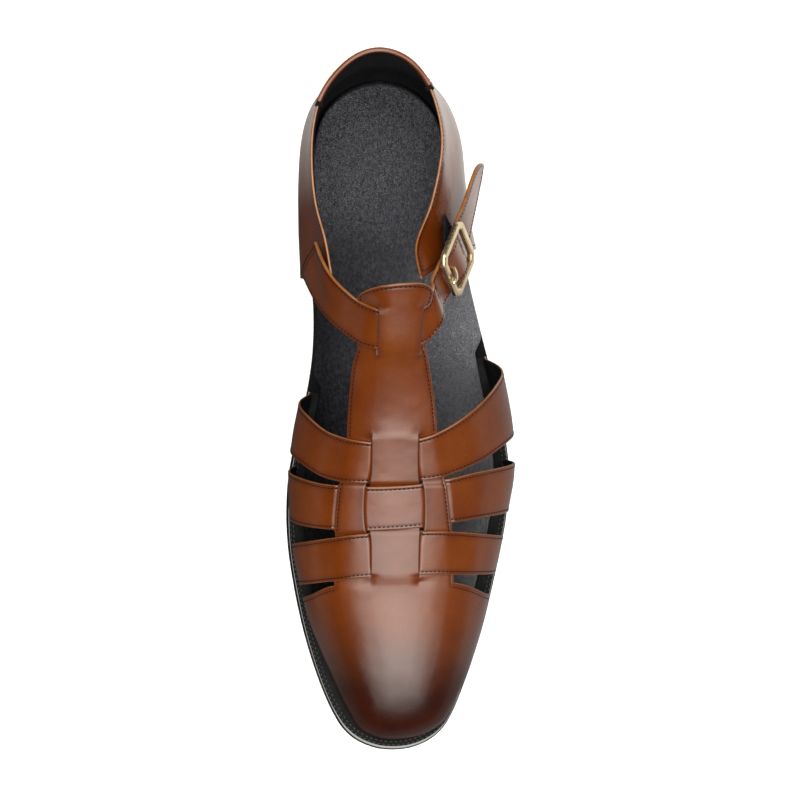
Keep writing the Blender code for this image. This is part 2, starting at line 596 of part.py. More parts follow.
# ---------------------------------------------------------------- ankle strap
along = np.array(BUCKLE_ALONG) / np.linalg.norm(BUCKLE_ALONG)
acro = np.array(BUCKLE_ACROSS) - along * np.dot(BUCKLE_ACROSS, along)
acro /= np.linalg.norm(acro)
face = np.cross(acro, along)
face *= 1 if face[0] > 0 else -1
centre = np.array(BUCKLE_AT)


def at_buckle(s, b, n):
    return centre + along * s + acro * b + face * n


lanes = np.linspace(0, 1, 5)           # upper edge .. lower edge
line = []
for uy, ua, ly, la, lift in STRAP_ROWS:
    y, a = uy + (ly - uy) * lanes, ua + (la - ua) * lanes
    on_form, off = form(y, a), form_normal(y, a)
    high = np.full(len(lanes), -9.0)
    for k, (p, d) in enumerate(zip(on_form, off)):
        hit = sewn_tree.ray_cast(Vector((p + d * 20.0) * MM), Vector(-d), 0.030)[0] if uy > SEWN_FROM_Y else None
        if hit:
            high[k] = float((np.array(hit) / MM - p) @ d) + GAP + 0.2
    for k in range(len(lanes) - 2, -1, -1):        # lanes above the collar follow the lane below
        if high[k] < -8.0:
            high[k] = high[k + 1]
    high += COLLAR_CLEAR * (1 - lanes)             # the upper edge stands over the collar's rim
    line.append(on_form + off * (np.maximum(lift, high) + STRAP_T / 2)[:, None])
for s, b, n, hw, twist in TAIL_ROWS:
    q = (lanes * 2 - 1) * hw
    line.append(np.array([at_buckle(s, b + qq, n + twist * qq) for qq in q]))
line = np.array(line)
place = np.concatenate([[0.0], np.cumsum(np.linalg.norm(np.diff(line[:, 2], axis=0), axis=1))])
steps = np.linspace(0.0, place[-1], 66)
fine = np.stack([np.stack([eased(place, line[:, j, k])(steps) for k in range(3)], -1) for j in range(5)], 1)
outward = fine - np.array([-8.0, 60.0, 45.0])
sn = grid_normals(fine, outward)
strap = make("ankle_strap", *thick_grid(fine, sn, -STRAP_T / 2, STRAP_T / 2), TAN_LEATHER)

# slot for the prong
box = [at_buckle(s, b, n) for n in (-7.0, 5.0) for s, b in
       ((HOLE_FROM, -HOLE_W / 2), (HOLE_TO, -HOLE_W / 2), (HOLE_TO, HOLE_W / 2), (HOLE_FROM, HOLE_W / 2))]
hole = make("prong_slot", box, [(0, 1, 2, 3), (4, 7, 6, 5), (0, 4, 5, 1), (1, 5, 6, 2), (2, 6, 7, 3), (3, 7, 4, 0)], TAN_LEATHER)
cut(strap, hole, "DIFFERENCE")
bake(strap, [hole])
# the strap is joined to the T-bar where they cross
cut(upper, strap, "UNION")
bake(upper, [strap])

# ---------------------------------------------------------------- buckle
L2, W2 = BUCKLE_LEN / 2 - BUCKLE_BAR / 2, BUCKLE_WID / 2 - BUCKLE_BAR / 2
k = BUCKLE_CUT
path = [(-L2, -W2 + k), (-L2, 0.0), (-L2, W2 - k), (-L2 + k, W2), (0.0, W2), (L2 - k, W2),
        (L2, W2 - k), (L2, 0.0), (L2, -W2 + k), (L2 - k, -W2), (0.0, -W2), (-L2 + k, -W2)]
rings = []
for i, (s, b) in enumerate(path):
    p, q = path[i - 1], path[(i + 1) % len(path)]
    d1 = np.array([s - p[0], b - p[1]])
    d2 = np.array([q[0] - s, q[1] - b])
    d1, d2 = d1 / np.linalg.norm(d1), d2 / np.linalg.norm(d2)
    mid = (d1 + d2) / np.linalg.norm(d1 + d2)
    side = np.array([-mid[1], mid[0]]) / max(0.6, np.dot(mid, d1))
    w, t = BUCKLE_BAR / 2, BUCKLE_BAR_T / 2
    sec = [(-w, -t * 0.6), (-w * 0.6, -t), (w * 0.6, -t), (w, -t * 0.6), (w, t * 0.35), (w * 0.45, t), (-w * 0.45, t), (-w, t * 0.35)]
    rings.append([at_buckle(s + side[0] * a, b + side[1] * a, e) for a, e in sec])
frame_ob = make("buckle_frame", *tube(rings, closed=True), BRASS)
# the middle bar dips below the strap, its ends bend up into the frame's sides
dip = [(W2, -0.1), (W2 - 0.65, -0.8), (W2 - 1.35, -1.85), (W2 - 2.1, -BUCKLE_SAG)]
dip = np.array([(-b, n) for b, n in dip] + dip[::-1])
bar_rings = []
for i, (b, n) in enumerate(dip):
    d = dip[min(i + 1, len(dip) - 1)] - dip[max(i - 1, 0)]
    d = d / np.linalg.norm(d)
    bar_rings.append([at_buckle(BAR_R * math.cos(u), b - d[1] * BAR_R * math.sin(u), n + d[0] * BAR_R * math.sin(u))
                      for u in np.linspace(0, 2 * math.pi, 13)[:-1]])
bar = make("middle_bar", *tube(bar_rings), BRASS)
cut(frame_ob, bar, "UNION")
bake(frame_ob, [bar])

prong_line = [(-BAR_R - 0.35, -BUCKLE_SAG - 0.1, 1.0), (-3.5, -1.9, 1.0), (-6.5, 0.5, 1.0), (-9.5, 2.3, 0.95),
              (-12.0, 2.6, 0.85), (-13.4, 2.5, 0.6)]
rings = []
for s, n, r in prong_line:
    rings.append([at_buckle(s, PRONG_R * r * math.cos(u), n + PRONG_R * r * math.sin(u))
                  for u in np.linspace(0, 2 * math.pi, 13)[:-1]])
prong = make("buckle_prong", *tube(rings), BRASS_PIN)

# elastic tab: from under the middle bar back along the lateral quarter
rows = []
for s in np.linspace(1.6, 17.0, 10):
    row = []
    for b in np.linspace(-TAB_W / 2, TAB_W / 2, 5) + TAB_SIDE:
        hit = wall_tree.ray_cast(Vector(at_buckle(s, b, 8.0) * MM), Vector(-face))[0]
        wall_n = float((np.array(hit) / MM - centre) @ face) if hit else -30.0
        row.append(at_buckle(s, b, max(-5.1 - 0.35 * max(0.0, s - 3.0), wall_n + 0.9 + TAB_T / 2)))
    rows.append(row)
tab_grid = np.array(rows)
tab = make("buckle_tab", *thick_grid(tab_grid, grid_normals(tab_grid, face), -TAB_T / 2, TAB_T / 2), ELASTIC)

# ---------------------------------------------------------------- stand on the floor, centred
lo, hi = np.full(3, 1e9), np.full(3, -1e9)
for ob in bpy.data.objects:
    co = np.array([v.co[:] for v in ob.data.vertices])
    lo, hi = np.minimum(lo, co.min(0)), np.maximum(hi, co.max(0))
shift = Vector((-(lo[0] + hi[0]) / 2, -(lo[1] + hi[1]) / 2, -lo[2]))
for ob in bpy.data.objects:
    for v in ob.data.vertices:
        v.co += shift
    ob.data.update()
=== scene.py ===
"""Roman sandal, left shoe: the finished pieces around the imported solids.
Frame: +X lateral, -X medial, -Y toe, +Y heel, +Z up, tread on Z = 0.
Sizes are in millimetres in the shoe's own layout; the meshes are made in metres."""
import bpy
import math
import numpy as np
from mathutils import Matrix, Vector
from mathutils.bvhtree import BVHTree
from mathutils.kdtree import KDTree


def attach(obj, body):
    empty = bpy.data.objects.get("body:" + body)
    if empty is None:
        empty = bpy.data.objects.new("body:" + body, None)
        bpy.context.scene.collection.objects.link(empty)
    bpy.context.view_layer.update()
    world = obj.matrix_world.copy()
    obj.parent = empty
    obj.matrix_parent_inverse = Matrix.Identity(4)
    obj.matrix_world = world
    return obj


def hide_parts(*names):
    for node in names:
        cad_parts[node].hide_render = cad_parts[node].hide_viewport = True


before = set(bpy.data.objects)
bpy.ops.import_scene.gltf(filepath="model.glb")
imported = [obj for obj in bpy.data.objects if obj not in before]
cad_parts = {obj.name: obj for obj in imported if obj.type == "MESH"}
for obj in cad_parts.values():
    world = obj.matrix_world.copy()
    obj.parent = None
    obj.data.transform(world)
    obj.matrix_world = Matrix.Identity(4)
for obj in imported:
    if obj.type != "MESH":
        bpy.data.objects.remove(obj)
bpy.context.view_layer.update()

scene = bpy.context.scene
MM = 0.001

# ================================================================ sizes shared with the solids
Y_HEEL, Y_TOE = 145.5, -153.1
X_HEEL, X_TOE = -10.0, -3.1
OUTSOLE_T, WELT_T, WELT_IN, INSOLE_T = 5.0, 3.4, 9.0, 5.4
WELT_BACK_LAT, WELT_BACK_MED = 23.0, 7.0
QUARTER_WALL, STRAP_T, GAP = 2.2, 2.4, 0.3
HEEL_FRONT_Y, HEEL_TAPER = 76.0, 2.2
FAN_START_Y, FAN_END_Y = -75.0, -118.0

SOLE_ROWS = [   # y, medial x, lateral x
    (141.6, -24.5, 5.0), (131.5, -36.6, 16.6), (115.5, -42.2, 22.6),
    (98.0, -43.0, 24.2), (78.0, -41.8, 26.4), (58.0, -39.8, 30.2),
    (40.0, -38.6, 34.8), (22.0, -39.2, 39.8), (4.0, -42.0, 44.7),
    (-14.0, -46.4, 48.6), (-32.0, -49.8, 50.6), (-48.0, -50.7, 49.4),
    (-64.0, -49.9, 46.7), (-80.0, -47.5, 43.1), (-98.0, -43.75, 38.6),
    (-114.0, -39.2, 33.4), (-127.0, -34.5, 28.4), (-137.0, -29.9, 23.9),
    (-143.6, -25.7, 19.7), (-147.4, -21.7, 15.6), (-149.8, -17.8, 11.7), (-151.4, -13.9, 7.8), (-152.6, -9.4, 3.2),
]
TREAD_ROWS = [  # y, z
    (145.5, 20.6), (100.0, 19.6), (75.0, 17.6), (50.0, 12.8), (25.0, 7.2),
    (0.0, 2.7), (-20.0, 0.5), (-32.0, 0.0), (-68.0, 0.0), (-85.0, 0.7),
    (-105.0, 2.7), (-125.0, 5.8), (-140.0, 9.0), (-153.1, 12.2),
]
RIDGE_ROWS = [  # y, x, z
    (66.0, -7.6, 103.6), (50.0, -7.2, 98.5), (35.0, -7.0, 92.0), (20.0, -6.8, 84.3),
    (5.0, -6.3, 76.4), (-10.0, -5.8, 69.3), (-25.0, -5.3, 63.2), (-40.0, -4.9, 57.8),
    (-55.0, -4.6, 53.0), (-70.0, -4.2, 48.8), (-85.0, -3.5, 45.0), (-100.0, -2.7, 41.6),
    (-118.0, -2.0, 37.8),
]
SECTION_ROWS = [    # y, inset from the sole edge, roundness power, side bulge
    (66.0, 3.2, 2.00, 6.6), (30.0, 3.2, 2.05, 6.2), (0.0, 3.2, 2.13, 5.4),
    (-20.0, 3.7, 2.18, 4.4), (-45.0, 4.6, 2.22, 2.6), (-80.0, 5.5, 2.24, 1.7),
    (-120.0, 6.4, 2.08, 1.3), (-153.1, 7.9, 2.00, 1.0),
]
INNER_ROWS = [(-82.0, 0.0), (-94.0, 0.3), (-108.0, 1.4), (-123.0, 2.2), (-138.0, 1.9), (-146.5, 0.7), (-153.1, 0.0)]   # y, added inset of the medial toe
OUTER_ROWS = [(-45.0, 0.0), (-70.0, 0.5), (-95.0, 1.4), (-120.0, 2.4), (-138.0, 2.4), (-147.0, 1.1), (-153.1, 0.0)]   # y, how much nearer the edge the lateral toe stands
ACROSS = (-1.0, -0.7, -0.45, -0.2, 0.0, 0.2, 0.45, 0.7, 1.0)
STRAP_EDGES = {
    "first_back": (6.0, -1.6, -9.8, -13.1, -13.7, -10.0, 0.0, 12.2, 21.8),
    "first_front": (-16.2, -22.8, -29.4, -31.3, -30.6, -29.4, -22.9, -14.8, -9.3),
    "second_back": (-25.9, -29.6, -32.2, -32.7, -32.5, -30.8, -27.2, -25.1, -23.5),
    "second_front": (-48.6, -51.4, -52.2, -52.2, -51.4, -50.3, -48.2, -47.3, -46.8),
    "third_back": (-61.8, -59.3, -56.5, -53.6, -52.6, -52.6, -54.6, -56.8, -58.6),
    "third_front": (-80.4, -78.3, -75.8, -73.1, -71.9, -71.8, -73.2, -74.5, -75.6),
    "vamp_back": (-86.5, -83.2, -77.9, -75.4, -74.8, -74.2, -77.7, -82.7, -85.8),
}
TBAR_ROWS = [   # y, medial x, lateral x
    (56.0, -19.8, 6.8), (40.0, -20.6, 6.4), (25.0, -21.5, 6.2), (18.0, -22.7, 7.6),
    (4.0, -24.0, 10.4), (-11.0, -25.0, 12.4), (-25.0, -27.0, 15.4), (-40.0, -28.7, 17.8),
    (-75.0, -30.0, 21.3), (-90.0, -30.5, 22.0),
]
LAT, MED = 1, -1
QUARTER_ROWS = [    # y on the sole edge and its side, top line x, y, z, outward bulge
    (69.0, LAT, 3.0, 52.5, 88.5, 6.4),
    (79.0, LAT, 1.4, 66.0, 81.5, 6.0),
    (92.0, LAT, 8.0, 85.0, 75.0, 5.3),
    (107.0, LAT, 12.3, 105.0, 73.5, 4.7),
    (128.0, LAT, 9.5, 127.5, 77.0, 4.2),
    (141.5, LAT, -0.5, 141.6, 84.0, 4.0),
    (145.5, LAT, -13.0, 145.6, 87.5, 4.0),
    (141.5, MED, -25.0, 141.2, 84.5, 3.8),
    (128.0, MED, -36.2, 126.5, 77.5, 3.6),
    (107.0, MED, -39.2, 104.0, 74.0, 3.6),
    (90.0, MED, -37.6, 85.5, 75.0, 4.4),
    (73.0, MED, -33.5, 69.0, 79.3, 5.6),
    (57.0, MED, -31.0, 54.5, 79.8, 6.6),
]
QUARTER_INSET, QUARTER_LEAN = 3.4, 2.2
COLLAR_CLEAR, SEWN_FROM_Y = 0.9, 52.0
STRAP_ROWS = [  # ankle strap: upper edge (y, across), lower edge (y, across), height
    (69.0, -0.600, 58.5, -0.830, 0.9),
    (63.0, -0.540, 52.5, -0.750, 0.9),
    (56.7, -0.480, 46.0, -0.670, 0.9),
    (49.3, -0.376, 38.0, -0.520, 2.5),
    (44.1, -0.270, 31.5, -0.400, 1.1),
    (41.0, -0.120, 26.5, -0.240, 0.9),
    (40.3, 0.020, 24.6, -0.050, 0.9),
    (41.0, 0.130, 25.6, 0.100, 0.9),
    (44.1, 0.220, 29.6, 0.215, 0.9),
    (50.0, 0.252, 36.5, 0.300, 1.0),
]
BUCKLE_AT = (20.5, 62.2, 75.5)
BUCKLE_ALONG = (0.349, 0.793, -0.502)
BUCKLE_ACROSS = (0.318, -0.641, -0.697)
BUCKLE_LEN, BUCKLE_WID = 25.0, 25.5
BUCKLE_BAR, BUCKLE_BAR_T, BUCKLE_CUT = 3.0, 2.2, 2.6
BUCKLE_SAG, BAR_R, PRONG_R = 2.4, 0.9, 0.9
TAIL_ROWS = [   # along the strap, across, height over the buckle plane, half width, twist
    (-18.5, 0.0, -3.2, 8.7, 0.0), (-12.5, 0.2, -2.95, 8.9, 0.0), (-8.2, 0.4, -2.7, 9.2, 0.0), (-4.2, 0.4, -0.7, 9.2, 0.0),
    (0.0, 0.5, 0.15, 9.4, 0.0), (4.2, 0.6, -0.3, 9.9, 0.0), (8.2, 0.6, -1.9, 10.2, 0.0), (12.5, 0.2, -2.95, 9.0, 0.0),
    (20.0, -0.7, -3.0, 8.2, -0.06), (28.0, -1.6, -3.3, 8.0, -0.12), (36.0, -2.8, -3.6, 7.8, -0.17), (42.0, -3.7, -3.7, 6.7, -0.2),
    (46.0, -4.2, -3.6, 4.4, -0.2), (48.8, -4.6, -3.4, 1.2, -0.2),
]
TAB_W, TAB_T, TAB_SIDE = 11.0, 1.2, -2.6

# ================================================================ sizes of the finish
LAYER_T = 1.05                         # one layer of strap leather
SINGLE, UNDER, OVER = 1.8, 1.2, 2.45   # outer face over the foot form: alone, below and above a crossing
BRIDGE = 3.5                           # T-bar bridge over the ankle strap
EAR = 0.95                             # T-bar ears below the ankle strap
FOLD = 0.55                            # round of a folded edge
SEAM_IN = 1.45                         # stitch line from the folded edge
STITCH_PITCH, STITCH_LEN, STITCH_R = 1.9, 1.5, 0.25
TAB_TOP = [                            # rounded top of the T-bar: place across (-1 medial, 1 lateral), y
    (-1.0, 44.2), (-0.93, 46.4), (-0.81, 48.1), (-0.6, 49.6), (-0.35, 50.9), (0.11, 52.1),
    (0.42, 52.3), (0.68, 51.9), (0.86, 50.6), (0.95, 49.0), (1.0, 46.8),
]
SLIT_ROWS = [                          # slits between the fingers: y, medial x, lateral x, half opening
    (60.0, -12.6, 3.4, 0.0), (42.4, -12.6, 3.4, 0.0), (40.0, -12.7, 3.4, 0.3), (25.0, -13.0, 3.4, 0.3),
    (22.4, -13.0, 3.5, 0.0), (-9.5, -14.7, 4.2, 0.0), (-13.5, -15.0, 4.5, 0.4), (-24.0, -15.1, 4.9, 0.6),
    (-34.0, -16.3, 6.2, 1.0), (-42.0, -16.5, 6.7, 1.1), (-50.0, -16.1, 6.8, 1.0), (-58.0, -14.9, 6.2, 0.6),
    (-68.0, -14.6, 6.1, 0.5), (-73.4, -14.4, 6.0, 0.0), (-90.0, -14.4, 6.0, 0.0),
]
CENTRE_ROWS = [                        # outer face of the middle finger: y, height
    (60.0, 5.9), (52.0, 5.3), (47.5, 4.65), (43.5, 4.2), (40.5, BRIDGE + 0.4), (25.0, BRIDGE - 0.55), (22.0, 2.4), (17.0, 1.9), (10.0, SINGLE),
    (-3.0, SINGLE), (-8.5, 2.1), (-12.0, OVER), (-29.9, OVER), (-30.7, 2.38), (-32.5, 1.26), (-33.4, UNDER),
    (-50.6, UNDER), (-51.3, 1.28), (-52.9, 2.36), (-53.7, OVER), (-70.6, OVER), (-72.5, 2.36), (-76.5, 1.95), (-82.0, SINGLE),
    (-160.0, SINGLE),
]
SIDE_ROWS = [                          # outer face of the two side fingers
    (60.0, 5.2), (52.0, 4.7), (47.5, 3.8), (44.5, 2.6), (42.0, 1.3), (40.0, EAR), (25.0, EAR), (22.5, 1.2), (19.0, SINGLE),
    (-5.0, SINGLE), (-9.0, 1.5), (-12.0, UNDER), (-30.4, UNDER), (-31.2, 1.26), (-32.8, 2.38), (-33.6, OVER),
    (-51.0, OVER), (-52.2, 2.38), (-54.4, 1.26), (-55.4, UNDER), (-72.6, UNDER), (-75.6, 1.5), (-79.0, SINGLE), (-160.0, SINGLE),
]


# ================================================================ curves of the foot form and the sole
def eased(xs, ys):
    """cubic through the rows, slopes by finite differences"""
    xs, ys = np.asarray(xs, float), np.asarray(ys, float)
    o = np.argsort(xs)
    xs, ys = xs[o], ys[o]
    m, h = np.gradient(ys, xs), np.diff(xs)

    def f(x):
        x = np.clip(np.asarray(x, float), xs[0], xs[-1])
        k = np.clip(np.searchsorted(xs, x, side="right") - 1, 0, len(xs) - 2)
        t = (x - xs[k]) / h[k]
        return ((1 + 2 * t) * (1 - t) ** 2 * ys[k] + t * (1 - t) ** 2 * h[k] * m[k]
                + t * t * (3 - 2 * t) * ys[k + 1] + t * t * (t - 1) * h[k] * m[k + 1])
    return f


def level(xs, ys):
    """cubic through the rows that never overshoots"""
    xs, ys = np.asarray(xs, float), np.asarray(ys, float)
    o = np.argsort(xs)
    xs, ys = xs[o], ys[o]
    h = np.diff(xs)
    d = np.diff(ys) / h
    m = np.zeros_like(ys)
    for i in range(1, len(xs) - 1):
        if d[i - 1] * d[i] > 0:
            a, b = 2 * h[i] + h[i - 1], h[i] + 2 * h[i - 1]
            m[i] = (a + b) / (a / d[i - 1] + b / d[i])
    m[0], m[-1] = d[0], d[-1]

    def f(x):
        x = np.clip(np.asarray(x, float), xs[0], xs[-1])
        k = np.clip(np.searchsorted(xs, x, side="right") - 1, 0, len(xs) - 2)
        t = (x - xs[k]) / h[k]
        return ((1 + 2 * t) * (1 - t) ** 2 * ys[k] + t * (1 - t) ** 2 * h[k] * m[k]
                + t * t * (3 - 2 * t) * ys[k + 1] + t * t * (t - 1) * h[k] * m[k + 1])
    return f


def column(rows, k):
    return [r[k] for r in rows]


def smooth(t):
    t = np.clip(t, 0, 1)
    return t * t * (3 - 2 * t)


def inside(x, lo, hi, e):
    """1 between lo and hi, easing to 0 over e"""
    return smooth((x - lo) / e + 0.5) * smooth((hi - x) / e + 0.5)


Y_MID, Y_HALF = (Y_HEEL + Y_TOE) / 2, (Y_HEEL - Y_TOE) / 2


def turn_of(y):
    return np.arccos(np.clip((np.asarray(y, float) - Y_MID) / Y_HALF, -1, 1))


_turn = np.array([0.0] + [float(turn_of(r[0])) for r in SOLE_ROWS] + [math.pi]
                 + [2 * math.pi - float(turn_of(r[0])) for r in SOLE_ROWS[::-1]])
_side = np.array([X_HEEL] + column(SOLE_ROWS, 2) + [X_TOE] + column(SOLE_ROWS[::-1], 1))
outline_x = eased(np.concatenate([_turn[-3:] - 2 * math.pi, _turn, _turn[:3] + 2 * math.pi]),
                  np.concatenate([_side[-3:], _side, _side[:3]]))


def outline(turn, inset=0.0):
    """sole edge moved inwards by inset"""
    p = np.mod(np.asarray(turn, float), 2 * math.pi)
    e = 1e-4
    dx = outline_x(np.mod(p + e, 2 * math.pi)) - outline_x(np.mod(p - e, 2 * math.pi))
    dy = Y_HALF * (np.cos(p + e) - np.cos(p - e))
    n = np.hypot(dx, dy)
    return outline_x(p) + dy / n * inset, Y_MID + Y_HALF * np.cos(p) - dx / n * inset


tread_z = level(column(TREAD_ROWS, 0), column(TREAD_ROWS, 1))


def sole_top(y):
    return tread_z(y) + OUTSOLE_T


def welt_top(y):
    return sole_top(y) + GAP + WELT_T


ridge_x = eased(column(RIDGE_ROWS, 0), column(RIDGE_ROWS, 1))
ridge_z = eased(column(RIDGE_ROWS, 0), column(RIDGE_ROWS, 2))
form_inset = level(column(SECTION_ROWS, 0), column(SECTION_ROWS, 1))
inner_inset = level(column(INNER_ROWS, 0), column(INNER_ROWS, 1))
outer_gain = level(column(OUTER_ROWS, 0), column(OUTER_ROWS, 1))
form_power = level(column(SECTION_ROWS, 0), column(SECTION_ROWS, 2))
form_bulge = level(column(SECTION_ROWS, 0), column(SECTION_ROWS, 3))


def fan(y):
    y = np.asarray(y, float)
    span, reach = FAN_START_Y - (Y_TOE + form_inset(Y_TOE)), FAN_START_Y - FAN_END_Y
    t = np.clip((FAN_START_Y - y) / span, 0, 1)
    return np.where(y > FAN_START_Y, y, FAN_START_Y - reach * (t + (span / reach - 1) * t * (1 - t)))


def form(y, across):
    """point of the foot form, across = -1 medial welt .. 0 ridge .. 1 lateral welt"""
    y, across = np.broadcast_arrays(np.asarray(y, float), np.asarray(across, float))
    turn = turn_of(y)
    turn = np.where(across >= 0, turn, 2 * math.pi - turn)
    fx, fy = outline(turn, form_inset(y) + np.where(across < 0, inner_inset(y), -outer_gain(y)))
    ry = fan(y)
    rx, rz = ridge_x(ry), ridge_z(ry)
    fz = welt_top(fy) + GAP
    ang, n = (1 - np.abs(across)) * math.pi / 2, form_power(y)
    c = np.clip(np.cos(ang), 0, 1) ** (2 / n)
    h = np.clip(np.sin(ang), 0, 1) ** (2 / n)
    dx, dy = fx - rx, fy - ry
    d = np.hypot(dx, dy)
    out = form_bulge(y) * 6.75 * h * (1 - h) ** 2
    slope = (ridge_z(ry + 1.0) - rz) * dy * c * (1 - c) ** 2       # leaves the ridge at the ridge's own slope
    return np.stack([rx + dx * c + dx / d * out, ry + dy * c + dy / d * out, fz + (rz - fz) * h + slope], -1)


def unit(v):
    return v / (np.linalg.norm(v, axis=-1, keepdims=True) + 1e-12)


def form_normal(y, across):
    """outward direction of the foot form, level at the welt"""
    y, across = np.broadcast_arrays(np.asarray(y, float), np.asarray(across, float))
    e = 0.002
    a0, a1 = np.clip(across - e, -1, 1), np.clip(across + e, -1, 1)
    n = unit(np.cross(form(y, a1) - form(y, a0), form(y + 0.2, across) - form(y - 0.2, across)))
    flat = n * np.array([1.0, 1.0, 0.0])
    w = smooth((np.abs(across) - 0.86) / 0.14)[..., None]
    return unit(n * (1 - w) + unit(flat) * w)


def on_form(y, across, height):
    return form(y, across) + form_normal(y, across) * np.asarray(height, float)[..., None]


def across_at(y, x):
    """place across the form where it has this x, for each y"""
    vs = np.linspace(-0.75, 0.75, 601)
    y, x = np.broadcast_arrays(np.asarray(y, float), np.asarray(x, float))
    out = np.empty(y.shape)
    for k in np.ndindex(y.shape):
        out[k] = np.interp(x[k], form(np.full_like(vs, y[k]), vs)[:, 0], vs)
    return out


def grid_normals(grid, towards):
    du, dv = np.gradient(grid, axis=0), np.gradient(grid, axis=1)
    n = unit(np.cross(du, dv))
    return n * np.where(np.sum(n * towards, axis=-1, keepdims=True) < 0, -1, 1)


edge = {k: eased(ACROSS, v) for k, v in STRAP_EDGES.items()}
tbar_med = eased(column(TBAR_ROWS, 0), column(TBAR_ROWS, 1))
tbar_lat = eased(column(TBAR_ROWS, 0), column(TBAR_ROWS, 2))
slit_med = level(column(SLIT_ROWS, 0), column(SLIT_ROWS, 1))
slit_lat = level(column(SLIT_ROWS, 0), column(SLIT_ROWS, 2))
slit_open = level(column(SLIT_ROWS, 0), column(SLIT_ROWS, 3))
centre_high = level(column(CENTRE_ROWS, 0), column(CENTRE_ROWS, 1))
side_high = level(column(SIDE_ROWS, 0), column(SIDE_ROWS, 1))

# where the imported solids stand, from the heel end of the outsole
_out = np.array([v.co[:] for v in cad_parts["outsole"].data.vertices]) / MM
_end = _out[np.argmax(_out[:, 1])]
SHIFT = np.array([_end[0] - X_HEEL, _end[1] - Y_HEEL, 0.0])


# ================================================================ mesh helpers
def new_object(name, verts, faces, mats, face_mats=None, rim=None, smooth_shade=True):
    me = bpy.data.meshes.new(name)
    co = (np.asarray(verts, float) + SHIFT) * MM
    me.from_pydata(co.tolist(), [], faces)
    for m in mats:
        me.materials.append(m)
    if face_mats is not None:
        me.polygons.foreach_set("material_index", np.asarray(face_mats, np.int32))
    me.polygons.foreach_set("use_smooth", np.full(len(me.polygons), smooth_shade))
    if rim is not None:
        a = me.attributes.new("rim", "FLOAT", "POINT")
        a.data.foreach_set("value", np.asarray(rim, np.float32))
    me.update()
    ob = bpy.data.objects.new(name, me)
    scene.collection.objects.link(ob)
    return ob


def finish_piece(ob, slot, *nodes):
    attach(ob, "root")
    if nodes:
        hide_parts(*nodes)
    return ob


def grid_faces(ids):
    """quads of an index grid"""
    a, b, c, d = ids[:-1, :-1], ids[:-1, 1:], ids[1:, 1:], ids[1:, :-1]
    return np.stack([a, b, c, d], -1).reshape(-1, 4)


def weld(pts, quads, digits=4):
    """joins points that coincide; returns points, faces without repeats, old-to-new index"""
    key = np.round(pts, digits)
    _, first, inv = np.unique(key, axis=0, return_index=True, return_inverse=True)
    inv = inv.reshape(-1)
    order = np.argsort(first)
    rank = np.empty_like(order)
    rank[order] = np.arange(len(order))
    inv = rank[inv]
    p = pts[first[order]]
    faces = []
    for q in inv[quads]:
        f = [int(q[i]) for i in range(len(q)) if q[i] != q[i - 1]]
        if len(set(f)) >= 3:
            faces.append(tuple(f))
    return p, faces, inv


def point_normals(p, faces):
    n = np.zeros_like(p)
    for f in faces:
        if len(f) == 4:
            fn = np.cross(p[f[2]] - p[f[0]], p[f[3]] - p[f[1]])
        else:
            fn = np.cross(p[f[1]] - p[f[0]], p[f[2]] - p[f[0]])
        for k in f:
            n[k] += fn
    return unit(n)


